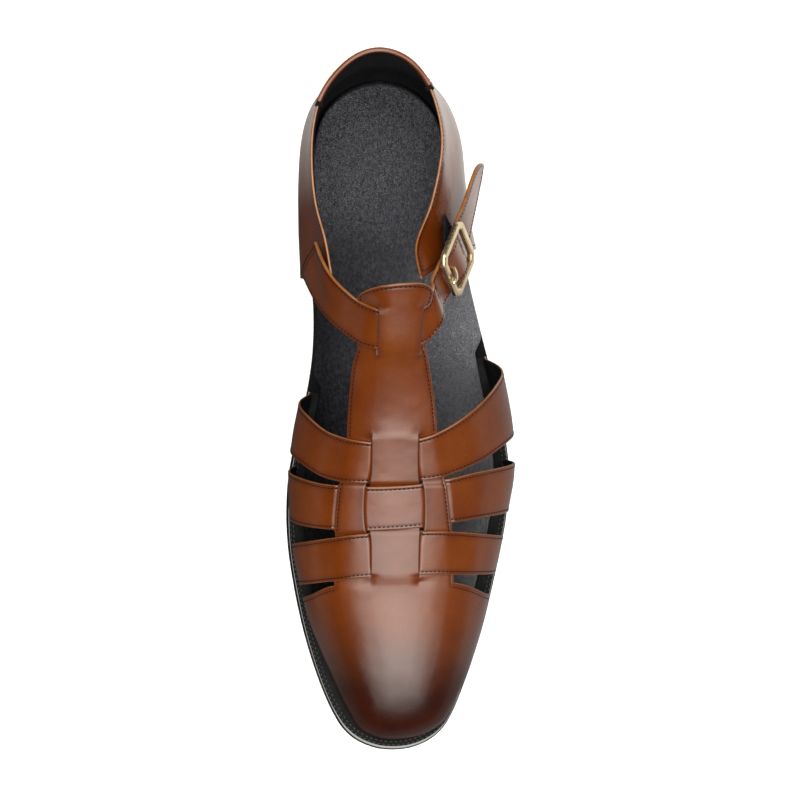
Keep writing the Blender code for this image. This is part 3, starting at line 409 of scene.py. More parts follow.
def skin(name, pts, quads, mats, thick, fold=FOLD, free=None, sewn=None, towards=None, crown=0.1, groove=0.13, rings=6, fold_at=None):
    """Leather body from its outer face: a second face below, and a rounded fold along its edges.
    free and sewn are masks over the points: edges that show, edges with a stitch line."""
    p, faces, inv = weld(np.asarray(pts, float), np.asarray(quads))
    m = len(p)

    def mask(a, default):
        out = np.full(m, default)
        if a is not None:
            out[inv] = a
        return out
    free, sewn = mask(free, True), mask(sewn, False)
    fold = mask(fold_at, fold) if fold_at is not None else np.full(m, float(fold))
    thick = np.full(m, float(thick)) if np.isscalar(thick) else mask(thick, 1.0)
    n = point_normals(p, faces)
    if towards is not None:
        t = np.empty((m, 3))
        t[inv] = np.asarray(towards, float).reshape(-1, 3) if np.ndim(towards) > 1 else pts - np.asarray(towards, float)
        if np.sum(n * t) < 0:
            faces, n = [f[::-1] for f in faces], -n
    count = {}
    for f in faces:
        for a, b in zip(f, f[1:] + f[:1]):
            count[(a, b)] = 1
    rim_edges = [(a, b) for (a, b) in count if (b, a) not in count]
    out = np.zeros_like(p)
    for a, b in rim_edges:
        d = p[b] - p[a]
        for k in (a, b):
            out[k] += np.cross(unit(d), n[k])
    on_rim = sorted({k for e in rim_edges for k in e})
    out[on_rim] = unit(out[on_rim])

    def reach(flag):
        """distance of each point to the flagged edges"""
        dots = [p[a] * (1 - s) + p[b] * s for a, b in rim_edges if flag[a] and flag[b] for s in (0.0, 0.34, 0.67)]
        if not dots:
            return np.full(m, 99.0)
        kd = KDTree(len(dots))
        for i, q in enumerate(dots):
            kd.insert(Vector(q), i)
        kd.balance()
        return np.array([kd.find(Vector(q))[2] for q in p])
    far = reach(free)
    seam = reach(sewn) if sewn.any() else np.full(m, 99.0)
    lift = crown * np.exp(-(far / 0.9) ** 2) * (far < 90) - groove * np.exp(-((seam - (SEAM_IN - FOLD)) / 0.36) ** 2)
    top = p + n * lift[:, None]
    low = p - n * thick[:, None]
    slot = {k: i for i, k in enumerate(on_rim)}
    K = len(on_rim)
    pieces, rims = [top], [far + FOLD]
    for r in range(1, rings):
        a = math.pi * r / rings
        pos = top[on_rim] * (0.5 + 0.5 * math.cos(a)) + low[on_rim] * (0.5 - 0.5 * math.cos(a))
        pieces.append(pos + out[on_rim] * (fold[on_rim] * math.sin(a))[:, None])
        rims.append(np.where(free[on_rim], FOLD * (1 - math.sin(a)) - (0.3 if r > rings / 2 else 0.0), 9.0))
    pieces.append(low)
    rims.append(np.full(m, -1.0))
    base_low = m + K * (rings - 1)
    all_faces, fm = list(faces), [0] * len(faces)

    def ring(r, k):
        return k if r == 0 else (base_low + k if r == rings else m + K * (r - 1) + slot[k])
    for a, b in rim_edges:
        for r in range(rings):
            all_faces.append((ring(r, b), ring(r, a), ring(r + 1, a), ring(r + 1, b)))
            fm.append(0 if r < rings - 2 else 1)
    for f in faces:
        all_faces.append(tuple(base_low + k for k in f[::-1]))
        fm.append(1)
    ob = new_object(name, np.concatenate(pieces), all_faces, mats, fm, np.concatenate(rims))
    return ob


class Thread:
    """many small stitches in one mesh"""

    def __init__(self):
        self.v, self.f, self.n = [], [], 0

    def stitch(self, at, along, up, length, radius, sink=0.75):
        side = np.cross(up, along)
        side /= np.linalg.norm(side) + 1e-12
        up = np.cross(along, side)
        up /= np.linalg.norm(up) + 1e-12
        k = 6
        rows = ((-0.5, 0.35, -sink), (-0.40, 0.82, -0.1), (-0.16, 1.0, 0.28), (0.16, 1.0, 0.28), (0.40, 0.82, -0.1), (0.5, 0.35, -sink))
        for s, r, z in rows:
            for j in range(k):
                u = 2 * math.pi * j / k
                self.v.append(at + along * (s * length) + side * (radius * r * math.cos(u)) + up * (radius * (r * math.sin(u) * 0.8 + z)))
        for i in range(len(rows) - 1):
            for j in range(k):
                a, b = self.n + i * k + j, self.n + i * k + (j + 1) % k
                self.f.append((a, b, b + k, a + k))
        self.f.append(tuple(self.n + j for j in range(k))[::-1])
        self.f.append(tuple(self.n + (len(rows) - 1) * k + j for j in range(k)))
        self.n += len(rows) * k

    def seam(self, pts, ups, pitch=STITCH_PITCH, length=STITCH_LEN, radius=STITCH_R, depth=0.1, skip=None, slant=0.0):
        """stitches along a line of points"""
        pts, ups = np.asarray(pts, float), unit(np.asarray(ups, float))
        at = np.concatenate([[0.0], np.cumsum(np.linalg.norm(np.diff(pts, axis=0), axis=1))])
        n = max(1, int(at[-1] / pitch))
        for c in (np.arange(n) + 0.5) * at[-1] / n:
            q = [np.array([np.interp(c + d, at, pts[:, k]) for k in range(3)]) for d in (-0.4, 0.0, 0.4)]
            up = unit(np.array([np.interp(c, at, ups[:, k]) for k in range(3)]))
            if skip is not None and skip(q[1]):
                continue
            al = unit(q[2] - q[0])
            if slant:
                al = unit(al + np.cross(up, al) * slant)
            self.stitch(q[1] - up * depth, al, up, length, radius)

    def make(self, name, mat):
        return new_object(name, np.array(self.v), self.f, [mat])


# ================================================================ materials
def shader(name):
    m = bpy.data.materials.new(name)
    m.use_nodes = True
    nt = m.node_tree
    return m, nt, nt.nodes["Principled BSDF"]


def node(nt, kind, inputs=None, **props):
    nd = nt.nodes.new(kind)
    for k, v in props.items():
        setattr(nd, k, v)
    for k, v in (inputs or {}).items():
        if hasattr(v, "is_output") or isinstance(v, bpy.types.NodeSocket):
            nt.links.new(v, nd.inputs[k])
        else:
            nd.inputs[k].default_value = v
    return nd


def ramp(nt, fac, stops, mode="LINEAR"):
    r = node(nt, "ShaderNodeValToRGB", {"Fac": fac})
    r.color_ramp.interpolation = mode
    while len(r.color_ramp.elements) < len(stops):
        r.color_ramp.elements.new(0.5)
    for e, (pos, col) in zip(r.color_ramp.elements, stops):
        e.position = pos
        e.color = (*col, 1.0) if len(col) == 3 else col
    return r.outputs["Color"]


def mix(nt, fac, a, b, blend="MIX"):
    nd = nt.nodes.new("ShaderNodeMix")
    nd.data_type, nd.blend_type = "RGBA", blend
    for k, v in ((0, fac), (6, a), (7, b)):
        if isinstance(v, bpy.types.NodeSocket):
            nt.links.new(v, nd.inputs[k])
        else:
            nd.inputs[k].default_value = (*v, 1.0) if isinstance(v, tuple) and len(v) == 3 else v
    return nd.outputs[2]


def remap(nt, value, lo, hi, to_lo=0.0, to_hi=1.0, kind="SMOOTHSTEP"):
    nd = node(nt, "ShaderNodeMapRange", {0: value}, interpolation_type=kind)
    for k, v in ((1, lo), (2, hi), (3, to_lo), (4, to_hi)):
        nd.inputs[k].default_value = v
    return nd.outputs[0]


def math_node(nt, op, a, b=0.0):
    nd = nt.nodes.new("ShaderNodeMath")
    nd.operation = op
    for k, v in ((0, a), (1, b)):
        if isinstance(v, bpy.types.NodeSocket):
            nt.links.new(v, nd.inputs[k])
        else:
            nd.inputs[k].default_value = v
    return nd.outputs[0]


def noise(nt, vec, scale, detail=3.0, rough=0.55, distort=0.0):
    return node(nt, "ShaderNodeTexNoise", {"Vector": vec, "Scale": scale, "Detail": detail, "Roughness": rough, "Distortion": distort}).outputs["Fac"]


def leather_material(name, burnished_toe=False):
    """polished cognac calf: tan edges, partly lighter leather and partly a painted highlight on the fold; darker pores
    and crease mottling, fine grain
    """
    m, nt, b = shader(name)
    co = node(nt, "ShaderNodeTexCoord").outputs["Object"]
    rim = node(nt, "ShaderNodeAttribute", attribute_name="rim").outputs["Fac"]
    cloud = noise(nt, co, 38.0, 4.0, 0.6)
    colour = ramp(nt, cloud, [(0.30, (0.067, 0.0121, 0.0008)), (0.52, (0.085, 0.0172, 0.0012)), (0.72, (0.100, 0.0224, 0.0016))])
    fine = noise(nt, co, 900.0, 3.0, 0.6)
    colour = mix(nt, remap(nt, fine, 0.35, 0.65, 0.0, 0.16), colour, (0.045, 0.0075, 0.001))
    # hand finish: a little darker towards the folded edges
    colour = mix(nt, remap(nt, rim, 1.0, 4.2, 0.45, 0.0), colour, (0.038, 0.0056, 0.0008))
    if burnished_toe:
        sep = node(nt, "ShaderNodeSeparateXYZ", {0: co})
        wav = math_node(nt, "MULTIPLY_ADD", noise(nt, co, 26.0, 3.0, 0.6), 0.022)
        nt.nodes[-1].inputs[2].default_value = -0.011
        x2 = math_node(nt, "MULTIPLY", math_node(nt, "ADD", sep.outputs["X"], 0.004), math_node(nt, "ADD", sep.outputs["X"], 0.004))
        place = math_node(nt, "ADD", math_node(nt, "SUBTRACT", sep.outputs["Y"], math_node(nt, "MULTIPLY", x2, 9.0)), wav)
        toe = math_node(nt, "MULTIPLY", remap(nt, place, -0.084, -0.130, 0.0, 0.97), remap(nt, noise(nt, co, 75.0, 4.0, 0.65), 0.32, 0.62, 0.90, 1.0))
        colour = mix(nt, toe, colour, (0.0105, 0.0020, 0.0014))
    # the folded edge shows lighter leather in patches, with a painted highlight on the rounded fold laid into the same
    # tan colour
    edge_patches = remap(nt, noise(nt, co, 260.0, 2.0), 0.3, 0.6, 0.65, 1.0)
    tan = math_node(nt, "MULTIPLY", remap(nt, rim, 0.12, 0.46, 1.0, 0.0), edge_patches)
    colour = mix(nt, tan, colour, (0.165, 0.062, 0.0155))
    nt.links.new(colour, b.inputs["Base Color"])
    vor = node(nt, "ShaderNodeTexVoronoi", {"Vector": co, "Scale": 1150.0}, feature="DISTANCE_TO_EDGE").outputs["Distance"]
    pores = remap(nt, vor, 0.0, 0.16)
    height = math_node(nt, "ADD", math_node(nt, "MULTIPLY", pores, 0.45), math_node(nt, "MULTIPLY", noise(nt, co, 1700.0, 2.0, 0.5), 0.5))
    height = math_node(nt, "ADD", height, math_node(nt, "MULTIPLY", noise(nt, co, 210.0, 2.0), 1.6))
    wavy = node(nt, "ShaderNodeBump", {"Strength": 0.35, "Distance": 0.0011, "Height": noise(nt, co, 55.0, 2.0, 0.45)})
    bump = node(nt, "ShaderNodeBump", {"Strength": 0.11, "Distance": 0.00022, "Height": height, "Normal": wavy.outputs[0]})
    nt.links.new(bump.outputs[0], b.inputs["Normal"])
    nt.links.new(remap(nt, noise(nt, co, 60.0, 3.0), 0.3, 0.7, 0.34, 0.44), b.inputs["Roughness"])
    nt.links.new(bump.outputs[0], b.inputs["Coat Normal"])
    b.inputs["Coat Weight"].default_value = 1.0
    if burnished_toe:                                  # the burnished tip is less polished
        nt.links.new(remap(nt, place, -0.108, -0.130, 1.0, 0.33), b.inputs["Coat Weight"])
    b.inputs["Coat Roughness"].default_value = 0.25 if burnished_toe else 0.2
    b.inputs["Specular IOR Level"].default_value = 0.015
    return m


def black_leather(name, base, light, grain, depth, rough, painted_glint=0.0, shine=0.2, stretch=1.0, waist=None, fine_scale=None):
    m, nt, b = shader(name)
    co = node(nt, "ShaderNodeTexCoord").outputs["Object"]
    at = co
    co = node(nt, "ShaderNodeMapping", {"Vector": co, "Scale": (1.0, stretch, 1.0)}).outputs[0]
    warp = node(nt, "ShaderNodeVectorMath", {0: co}, operation="ADD")
    wn = node(nt, "ShaderNodeTexNoise", {"Vector": co, "Scale": grain * 0.7, "Detail": 2.0})
    sc = node(nt, "ShaderNodeVectorMath", {0: wn.outputs["Color"]}, operation="SCALE")
    sc.inputs["Scale"].default_value = 0.9 / grain
    nt.links.new(sc.outputs[0], warp.inputs[1])
    vor = node(nt, "ShaderNodeTexVoronoi", {"Vector": warp.outputs[0], "Scale": grain}, feature="DISTANCE_TO_EDGE").outputs["Distance"]
    cell = remap(nt, vor, 0.0, 0.22)
    fine = noise(nt, co, fine_scale or grain * 2.6, 4.0, 0.68)
    colour = ramp(nt, noise(nt, co, 55.0, 3.0), [(0.3, base), (0.7, light)])
    colour = mix(nt, remap(nt, cell, 0.0, 0.5, 0.3, 0.0), colour, tuple(c * 0.35 for c in base))
    if painted_glint:
        # painted glints: light specks mixed into the colour where the grain would catch the light
        colour = mix(nt, remap(nt, fine, 0.42, 0.66, 0.0, painted_glint), colour, tuple(min(1.0, c * 2.7) for c in light))
    if waist:
        # painted light on the waist of the footbed: a lighter, speckled painted sheen on the outer side and painted
        # shade on the inner side, both fading out towards the heel
        sep = node(nt, "ShaderNodeSeparateXYZ", {0: at})
        front = remap(nt, sep.outputs["Y"], 0.046, 0.092, 1.0, 0.0)
        painted_sheen_mask = math_node(nt, "MULTIPLY", front, remap(nt, sep.outputs["X"], -0.004, 0.030, 0.0, 0.9, kind="LINEAR"))
        painted_shade_mask = math_node(nt, "MULTIPLY", front, remap(nt, sep.outputs["X"], -0.034, -0.010, 0.75, 0.0, kind="LINEAR"))
        colour = mix(nt, math_node(nt, "MULTIPLY", painted_sheen_mask, remap(nt, fine, 0.3, 0.62, 0.45, 1.0)), colour, (0.060, 0.0585, 0.071))
        colour = mix(nt, painted_shade_mask, colour, (0.0022, 0.0022, 0.0026))
    nt.links.new(colour, b.inputs["Base Color"])
    height = math_node(nt, "ADD", math_node(nt, "MULTIPLY", cell, 0.8), math_node(nt, "MULTIPLY", fine, 0.9))
    bump = node(nt, "ShaderNodeBump", {"Strength": 0.6, "Distance": depth, "Height": height})
    nt.links.new(bump.outputs[0], b.inputs["Normal"])
    nt.links.new(remap(nt, fine, 0.3, 0.7, rough - 0.07, rough + 0.1), b.inputs["Roughness"])
    b.inputs["Specular IOR Level"].default_value = shine
    if waist:                                          # more polished on the outer side of the waist than on the inner
        sep = node(nt, "ShaderNodeSeparateXYZ", {0: at})
        side = remap(nt, sep.outputs["X"], -0.034, 0.036, *waist, kind="LINEAR")
        heel = remap(nt, sep.outputs["Y"], 0.046, 0.092)
        keep = math_node(nt, "MULTIPLY", side, math_node(nt, "SUBTRACT", 1.0, heel))
        nt.links.new(math_node(nt, "ADD", keep, math_node(nt, "MULTIPLY", heel, shine)), b.inputs["Specular IOR Level"])
    return m


def sole_material(name, base, rough_lo, rough_hi, coat=0.0, shine=0.3):
    m, nt, b = shader(name)
    co = node(nt, "ShaderNodeTexCoord").outputs["Object"]
    colour = ramp(nt, noise(nt, co, 120.0, 4.0, 0.65), [(0.3, tuple(c * 0.75 for c in base)), (0.7, tuple(c * 1.35 for c in base))])
    nt.links.new(colour, b.inputs["Base Color"])
    bump = node(nt, "ShaderNodeBump", {"Strength": 0.16, "Distance": 0.0002, "Height": noise(nt, co, 1500.0, 4.0, 0.6)})
    nt.links.new(bump.outputs[0], b.inputs["Normal"])
    nt.links.new(remap(nt, noise(nt, co, 300.0, 3.0), 0.3, 0.7, rough_lo, rough_hi), b.inputs["Roughness"])
    b.inputs["Coat Weight"].default_value = coat
    b.inputs["Coat Roughness"].default_value = 0.16
    b.inputs["Specular IOR Level"].default_value = shine
    return m


def thread_material(name, base, rough=0.65, shine=0.08):
    m, nt, b = shader(name)
    co = node(nt, "ShaderNodeTexCoord").outputs["Object"]
    colour = ramp(nt, noise(nt, co, 1600.0, 2.0), [(0.3, tuple(c * 0.6 for c in base)), (0.7, tuple(c * 1.3 for c in base))])
    nt.links.new(colour, b.inputs["Base Color"])
    wave = node(nt, "ShaderNodeTexWave", {"Vector": co, "Scale": 900.0, "Distortion": 2.0}).outputs["Fac"]
    bump = node(nt, "ShaderNodeBump", {"Strength": 0.3, "Distance": 0.0001, "Height": wave})
    nt.links.new(bump.outputs[0], b.inputs["Normal"])
    b.inputs["Roughness"].default_value = rough
    b.inputs["Specular IOR Level"].default_value = shine
    return m


def brass_material(name):
    m, nt, b = shader(name)
    co = node(nt, "ShaderNodeTexCoord").outputs["Object"]
    stretch = node(nt, "ShaderNodeMapping", {"Vector": co, "Scale": (1.0, 0.25, 1.0)})
    brushed = noise(nt, stretch.outputs[0], 1800.0, 3.0, 0.6)
    colour = ramp(nt, noise(nt, co, 160.0, 3.0), [(0.3, (0.53, 0.41, 0.26)), (0.7, (0.68, 0.545, 0.37))])
    nt.links.new(colour, b.inputs["Base Color"])
    b.inputs["Metallic"].default_value = 1.0
    nt.links.new(remap(nt, brushed, 0.3, 0.7, 0.22, 0.38), b.inputs["Roughness"])
    bump = node(nt, "ShaderNodeBump", {"Strength": 0.1, "Distance": 0.00008, "Height": brushed})
    nt.links.new(bump.outputs[0], b.inputs["Normal"])
    return m


def elastic_material(name):
    m, nt, b = shader(name)
    co = node(nt, "ShaderNodeTexCoord").outputs["Object"]
    colour = ramp(nt, noise(nt, co, 700.0, 3.0), [(0.3, (0.003, 0.003, 0.0034)), (0.7, (0.009, 0.009, 0.010))])
    nt.links.new(colour, b.inputs["Base Color"])
    bump = node(nt, "ShaderNodeBump", {"Strength": 0.4, "Distance": 0.0002, "Height": noise(nt, co, 2600.0, 2.0)})
    nt.links.new(bump.outputs[0], b.inputs["Normal"])
    b.inputs["Roughness"].default_value = 0.8
    b.inputs["Specular IOR Level"].default_value = 0.1
    return m


COGNAC = leather_material("cognac_leather")
COGNAC_TOE = leather_material("cognac_leather_burnished_toe", burnished_toe=True)
LINING = black_leather("black_lining", (0.0045, 0.0045, 0.005), (0.009, 0.009, 0.010), 900.0, 0.0001, 0.5, shine=0.12)
FOOTBED = black_leather("black_footbed_leather", (0.0072, 0.0070, 0.0096), (0.0140, 0.0136, 0.0182), 2000.0, 0.00056, 0.36, painted_glint=1.0, shine=0.47, stretch=0.5, waist=(0.05, 0.95), fine_scale=1050.0)
WELT_BLACK = sole_material("black_welt_leather", (0.0035, 0.0035, 0.0035), 0.45, 0.6, shine=0.06)
EDGE_BLACK = sole_material("black_sole_edge", (0.0045, 0.0045, 0.0045), 0.24, 0.36, coat=0.2, shine=0.2)
SOLE_TOP = sole_material("black_sole_top", (0.004, 0.004, 0.0042), 0.75, 0.85, shine=0.03)
BEVEL_BLACK = sole_material("black_polished_bevel", (0.006, 0.006, 0.006), 0.14, 0.22, coat=1.0, shine=0.6)
HEEL_BLACK = sole_material("black_heel_stack", (0.0045, 0.0043, 0.0042), 0.24, 0.4, coat=0.3, shine=0.3)
THREAD = thread_material("dark_brown_thread", (0.0060, 0.0020, 0.0013))
WELT_THREAD = thread_material("charcoal_thread", (0.010, 0.010, 0.011), rough=0.42, shine=0.3)
BRASS = brass_material("satin_brass")
ELASTIC = elastic_material("black_elastic")

OUT_FROM = np.array([-6.0, 0.0, 5.0])   # inside the shoe, below the foot
seams = Thread()


# ================================================================ cross straps
def graded(width, steps, close=(0.0, 0.45, 0.9, 1.35, 2.1)):
    """places across a strip, close together at its two edges"""
    c = np.array(close)
    mid = np.linspace(c[-1], width - c[-1], steps + 2)[1:-1]
    return np.concatenate([c, mid, (width - c)[::-1]])


def strap_height(x, y, over_sides):
    """outer face of a cross strap over the foot form"""
    a0, a1 = tbar_med(y), slit_med(y) - slit_open(y)
    c0, c1 = slit_lat(y) + slit_open(y), tbar_lat(y)
    near = inside(x, a0, c1, 7.0)                      # the crossing as a whole
    mid = inside(x, a1 + 0.2, c0 - 0.2, 2.2)
    if over_sides:
        return SINGLE + (OVER - SINGLE) * near + (UNDER - OVER) * inside(x, a1 + 0.9, c0 - 0.9, 1.8)
    sides = np.maximum(inside(x, a0 - 0.6, a1 + 0.4, 1.6), inside(x, c0 - 0.4, c1 + 0.6, 1.6))
    return SINGLE + (UNDER - SINGLE) * np.maximum(sides, 0.0) * (1 - mid) + (OVER - SINGLE) * mid


def strap_place(back, front, v, s):
    """y of the strap's back and front fold lines, for each place across; s is not used"""
    yb, yf = edge[back](v), edge[front](v)
    return yb, yf


def cross_strap(name, key, over_sides):
    back, front = edge[key + "_back"], edge[key + "_front"]
    vs = np.concatenate([np.linspace(-1, -0.42, 34), np.linspace(-0.42, 0.40, 100)[1:], np.linspace(0.40, 1, 34)[1:]])
    rows = []
    for v in vs:
        w = np.linspace(0, 1, 13)
        line = form(back(v) + (front(v) - back(v)) * w, np.full(13, v))
        at = np.concatenate([[0], np.cumsum(np.linalg.norm(np.diff(line, axis=0), axis=1))])
        d = FOLD + graded(at[-1] - 2 * FOLD, 9)
        y = back(v) + (front(v) - back(v)) * np.interp(d, at, w)
        base = form(y, np.full_like(y, v))
        rows.append(base + form_normal(y, np.full_like(y, v)) * strap_height(base[:, 0], y, over_sides)[:, None])
    g = np.array(rows)
    lower = g[[0, -1]] + np.array([0, 0, -1.6])        # the ends run down behind the welt
    g = np.concatenate([lower[:1], g, lower[1:]])
    r, c = g.shape[:2]
    free = np.ones((r, c), bool)
    free[0, :] = free[-1, :] = False
    ids = np.arange(r * c).reshape(r, c)
    sewn = np.zeros((r, c), bool)
    sewn[1:-1, 0] = sewn[1:-1, -1] = True
    fold_at = np.where(free, FOLD, 0.0)
    free[:, 1:-1] = False
    ob = skin(name, g.reshape(-1, 3), grid_faces(ids), [COGNAC, LINING], LAYER_T, free=free.reshape(-1), sewn=sewn.reshape(-1),
              fold_at=fold_at.reshape(-1), towards=OUT_FROM)
    finish_piece(ob, "upper", "upper")

    # stitch lines, left out where a finger of the T-bar lies over the strap
    def covered(q):
        x, y = q[0], q[1]
        a0, a1 = tbar_med(y) - 0.6, slit_med(y) - slit_open(y) + 0.4
        c0, c1 = slit_lat(y) + slit_open(y) - 0.4, tbar_lat(y) + 0.6
        if over_sides:
            return slit_med(y) + slit_open(y) - 0.3 < x < slit_lat(y) - slit_open(y) + 0.3
        return a0 < x < a1 or c0 < x < c1
    n = np.array([form_normal(yy, v) for yy, v in zip((back(vs) + front(vs)) / 2, vs)])
    for col in (2, c - 3):
        line = (g[1:-1, col] + g[1:-1, col + (1 if col == 2 else -1)] * 0.0)
        seams.seam(line, n, skip=covered, depth=0.1)
    return g


strap_grids = {}
for nm, key, over in (("cross_strap_first", "first", True), ("cross_strap_second", "second", False), ("cross_strap_third", "third", True)):
    strap_grids[key] = cross_strap(nm, key, over)

# ================================================================ vamp, fingers and T-bar in one piece of leather
TOP_AT = level(column(TAB_TOP, 0), column(TAB_TOP, 1))
LANE_N, MID_N, WING_N = 9, 19, 26


def lane_x(y, top_row=False):
    """x of the columns of the three lanes at station y (arrays per lane)"""
    m, l, g = float(tbar_med(y)) + FOLD, float(tbar_lat(y)) - FOLD, float(slit_open(y))
    sm, sl = float(slit_med(y)), float(slit_lat(y))
    def lane(a, b, n, fine_left, fine_right):
        w = b - a
        left = np.array([0, 0.45, 0.9, 1.35, 2.1]) if fine_left else np.array([0, 0.5])
        right = np.array([0, 0.45, 0.9, 1.35, 2.1]) if fine_right else np.array([0, 0.5])
        k = min(1.0, w / (left[-1] + right[-1] + 0.4))
        left, right = left * k, right * k
        inner = np.linspace(left[-1], w - right[-1], n - len(left) - len(right) + 2)[1:-1]
        return a + np.concatenate([left, inner, w - right[::-1]])
    return lane(m, sm - g, LANE_N, True, False), lane(sm + g, sl - g, MID_N, False, False), lane(sl + g, l, LANE_N, False, True)


row_y = [43.0, 42.4]
row_y += list(np.linspace(41.4, 23.4, 15)) + [22.4] + list(np.linspace(21.2, -4.0, 20))
row_y += list(np.linspace(-5.0, -9.5, 6)) + list(np.linspace(-10.3, -29.4, 20)) + list(np.linspace(-29.9, -34.2, 12)) + list(np.linspace(-35.2, -49.8, 13))
row_y += list(np.linspace(-50.4, -55.6, 13)) + list(np.linspace(-56.6, -70.0, 12)) + list(np.linspace(-70.8, -73.4, 5))
row_y = np.array(row_y)
tab_rows = np.array([0.0, 0.45, 0.9, 1.35, 2.1, 3.0, 4.0, 5.2, 6.5, 8.0])
pts, lanes = [], {"A": [], "B": [], "C": []}
meta_free, meta_sewn, meta_fold = [], [], []


def add(p, free=False, sewn=False, fold=FOLD):
    pts.append(p)
    meta_free.append(free)
    meta_sewn.append(sewn)
    meta_fold.append(fold)
    return len(pts) - 1


def high_at(lane, y, x, closed):
    h = np.full_like(x, centre_high(y) if lane == "B" else side_high(y))
    if lane != "B":                                    # level with the middle where the leather is uncut
        d = np.minimum(np.abs(x - slit_med(y)), np.abs(x - slit_lat(y)))
        w = np.exp(-(d / 2.4) ** 2) * closed
        return h + (0.5 * (centre_high(y) - h)) * w
    d = np.minimum(np.abs(x - slit_med(y)), np.abs(x - slit_lat(y)))
    w = np.exp(-(d / 2.4) ** 2) * closed
    return h + 0.5 * (side_high(y) - h) * w


def add_row(ys, xs, edge_free):
    """one row of the three lanes; ys, xs are per-lane arrays"""
    y0 = float(np.mean(ys["B"]))
    gap = float(slit_open(y0))
    closed = gap < 1e-6
    near = 1.0 if closed else float(np.exp(-(gap / 0.12) ** 2))
    row = {}
    for k in "ABC":
        v = across_at(ys[k], xs[k])
        h = np.array([float(high_at(k, yy, np.array([xx]), near)[0]) for yy, xx in zip(ys[k], xs[k])])
        row[k] = on_form(ys[k], v, h)
    ids = {}
    n = {k: len(row[k]) for k in "ABC"}
    ids["A"] = [add(row["A"][j], *((True, True, FOLD) if j == 0 else ((True, False, 0.12) if j == n["A"] - 1 else (edge_free, edge_free)))) for j in range(n["A"])]
    if closed:
        pts[ids["A"][-1]] = (row["A"][-1] + row["B"][0]) / 2
    ids["B"] = [ids["A"][-1] if closed and j == 0 else add(row["B"][j], *((True, False, 0.12) if j in (0, n["B"] - 1) else (edge_free, edge_free))) for j in range(n["B"])]
    if closed:
        pts[ids["B"][-1]] = (row["B"][-1] + row["C"][0]) / 2
    ids["C"] = [ids["B"][-1] if closed and j == 0 else add(row["C"][j], *((True, True, FOLD) if j == n["C"] - 1 else ((True, False, 0.12) if j == 0 else (edge_free, edge_free)))) for j in range(n["C"])]
    for k in "ABC":
        lanes[k].append(ids[k])


# rounded top tab: rows follow its edge
base_cols = lane_x(43.0)
mid0, half0 = (tbar_med(46.0) + tbar_lat(46.0)) / 2, (tbar_lat(46.0) - tbar_med(46.0)) / 2
for i, t in enumerate(tab_rows / tab_rows[-1]):
    ys, xs = {}, {}
    for k, cols in zip("ABC", base_cols):
        s = np.clip((cols - mid0) / half0, -1, 1)
        top = TOP_AT(s) - FOLD
        drop = tab_rows[i] if i < 5 else tab_rows[4] + (t - tab_rows[4] / tab_rows[-1]) / (1 - tab_rows[4] / tab_rows[-1]) * 99
        y_low = 43.6
        y = top - tab_rows[i] * (top - y_low) / np.maximum(top - y_low, tab_rows[-1]) if False else top + (y_low - top) * t
        xs[k], ys[k] = cols, y
    add_row(ys, xs, i == 0)
for y in row_y:
    cols = lane_x(float(y))
    add_row({k: np.full(len(c), y) for k, c in zip("ABC", cols)}, dict(zip("ABC", cols)), False)

# the vamp: from its back edge forwards to the toe, columns run on from the fingers
cols_last = lane_x(-73.4)
all_x = np.concatenate([cols_last[0], cols_last[1][1:], cols_last[2][1:]])
v_mid = across_at(np.full(len(all_x), -74.5), all_x)
v_wm = np.concatenate([np.linspace(-1, v_mid[0], WING_N)[:-1]])
v_wl = np.concatenate([np.linspace(v_mid[-1], 1, WING_N)[1:]])
v_back = np.concatenate([v_wm, v_mid, v_wl])
v_even = 0.5 * (v_back - v_back[::-1])
NV = len(v_back)
turn_back = turn_of(edge["vamp_back"](v_back) - FOLD)
first = np.array([0.0, 0.45, 0.9, 1.35, 2.1, 3.2])
span = math.pi - turn_back
vamp_rows = []
taus = np.concatenate([first / 78.0, np.linspace(first[-1] / 78.0, 1.0, 52)[1:]])
for tau in taus:
    turn = turn_back + span * tau
    y = Y_MID + Y_HALF * np.cos(turn)
    v = v_back + (v_even - v_back) * smooth(tau)
    h = np.full(NV, SINGLE)
    mid = slice(len(v_wm), len(v_wm) + len(v_mid))
    x_now = form(y, v)[:, 0]
    hb = centre_high(y) - SINGLE
    ha = side_high(y) - SINGLE
    in_mid = inside(x_now, -14.4, 6.0, 3.0)
    in_side = inside(x_now, -30.0, 21.5, 5.0) * (1 - in_mid)
    h = h + hb * in_mid + ha * in_side
    # small hollows where the slits end
    for dx in (-14.2, 5.8):
        h = h - 0.75 * np.exp(-(((x_now - dx) / 1.9) ** 2 + ((y + 75.3) / 1.9) ** 2))
    vamp_rows.append((form(y, v), v, h))
vb = np.array([row[0] for row in vamp_rows])
wp, wf, winv = weld(vb.reshape(-1, 3), grid_faces(np.arange(len(taus) * NV).reshape(-1, NV)))
wn = point_normals(wp, wf)
if np.sum(wn * (wp - OUT_FROM)) < 0:
    wn = -wn
vn = wn[winv].reshape(vb.shape)
w = smooth((np.abs(np.array([row[1] for row in vamp_rows])) - 0.86) / 0.14)[..., None]
vn = unit(vn * (1 - w) + unit(vn * np.array([1.0, 1.0, 0.0])) * w)
vamp = vb + vn * np.array([row[2] for row in vamp_rows])[..., None]
tip = int(np.argmin(np.abs(vamp_rows[-1][1])))
if abs(vamp_rows[-1][1][tip]) < 1e-9:                  # the two sides close on one point at the tip
    vamp[-1, tip - 1:tip + 2] = vamp[-1, tip + 1]
vamp_ids = np.empty((len(taus), NV), int)
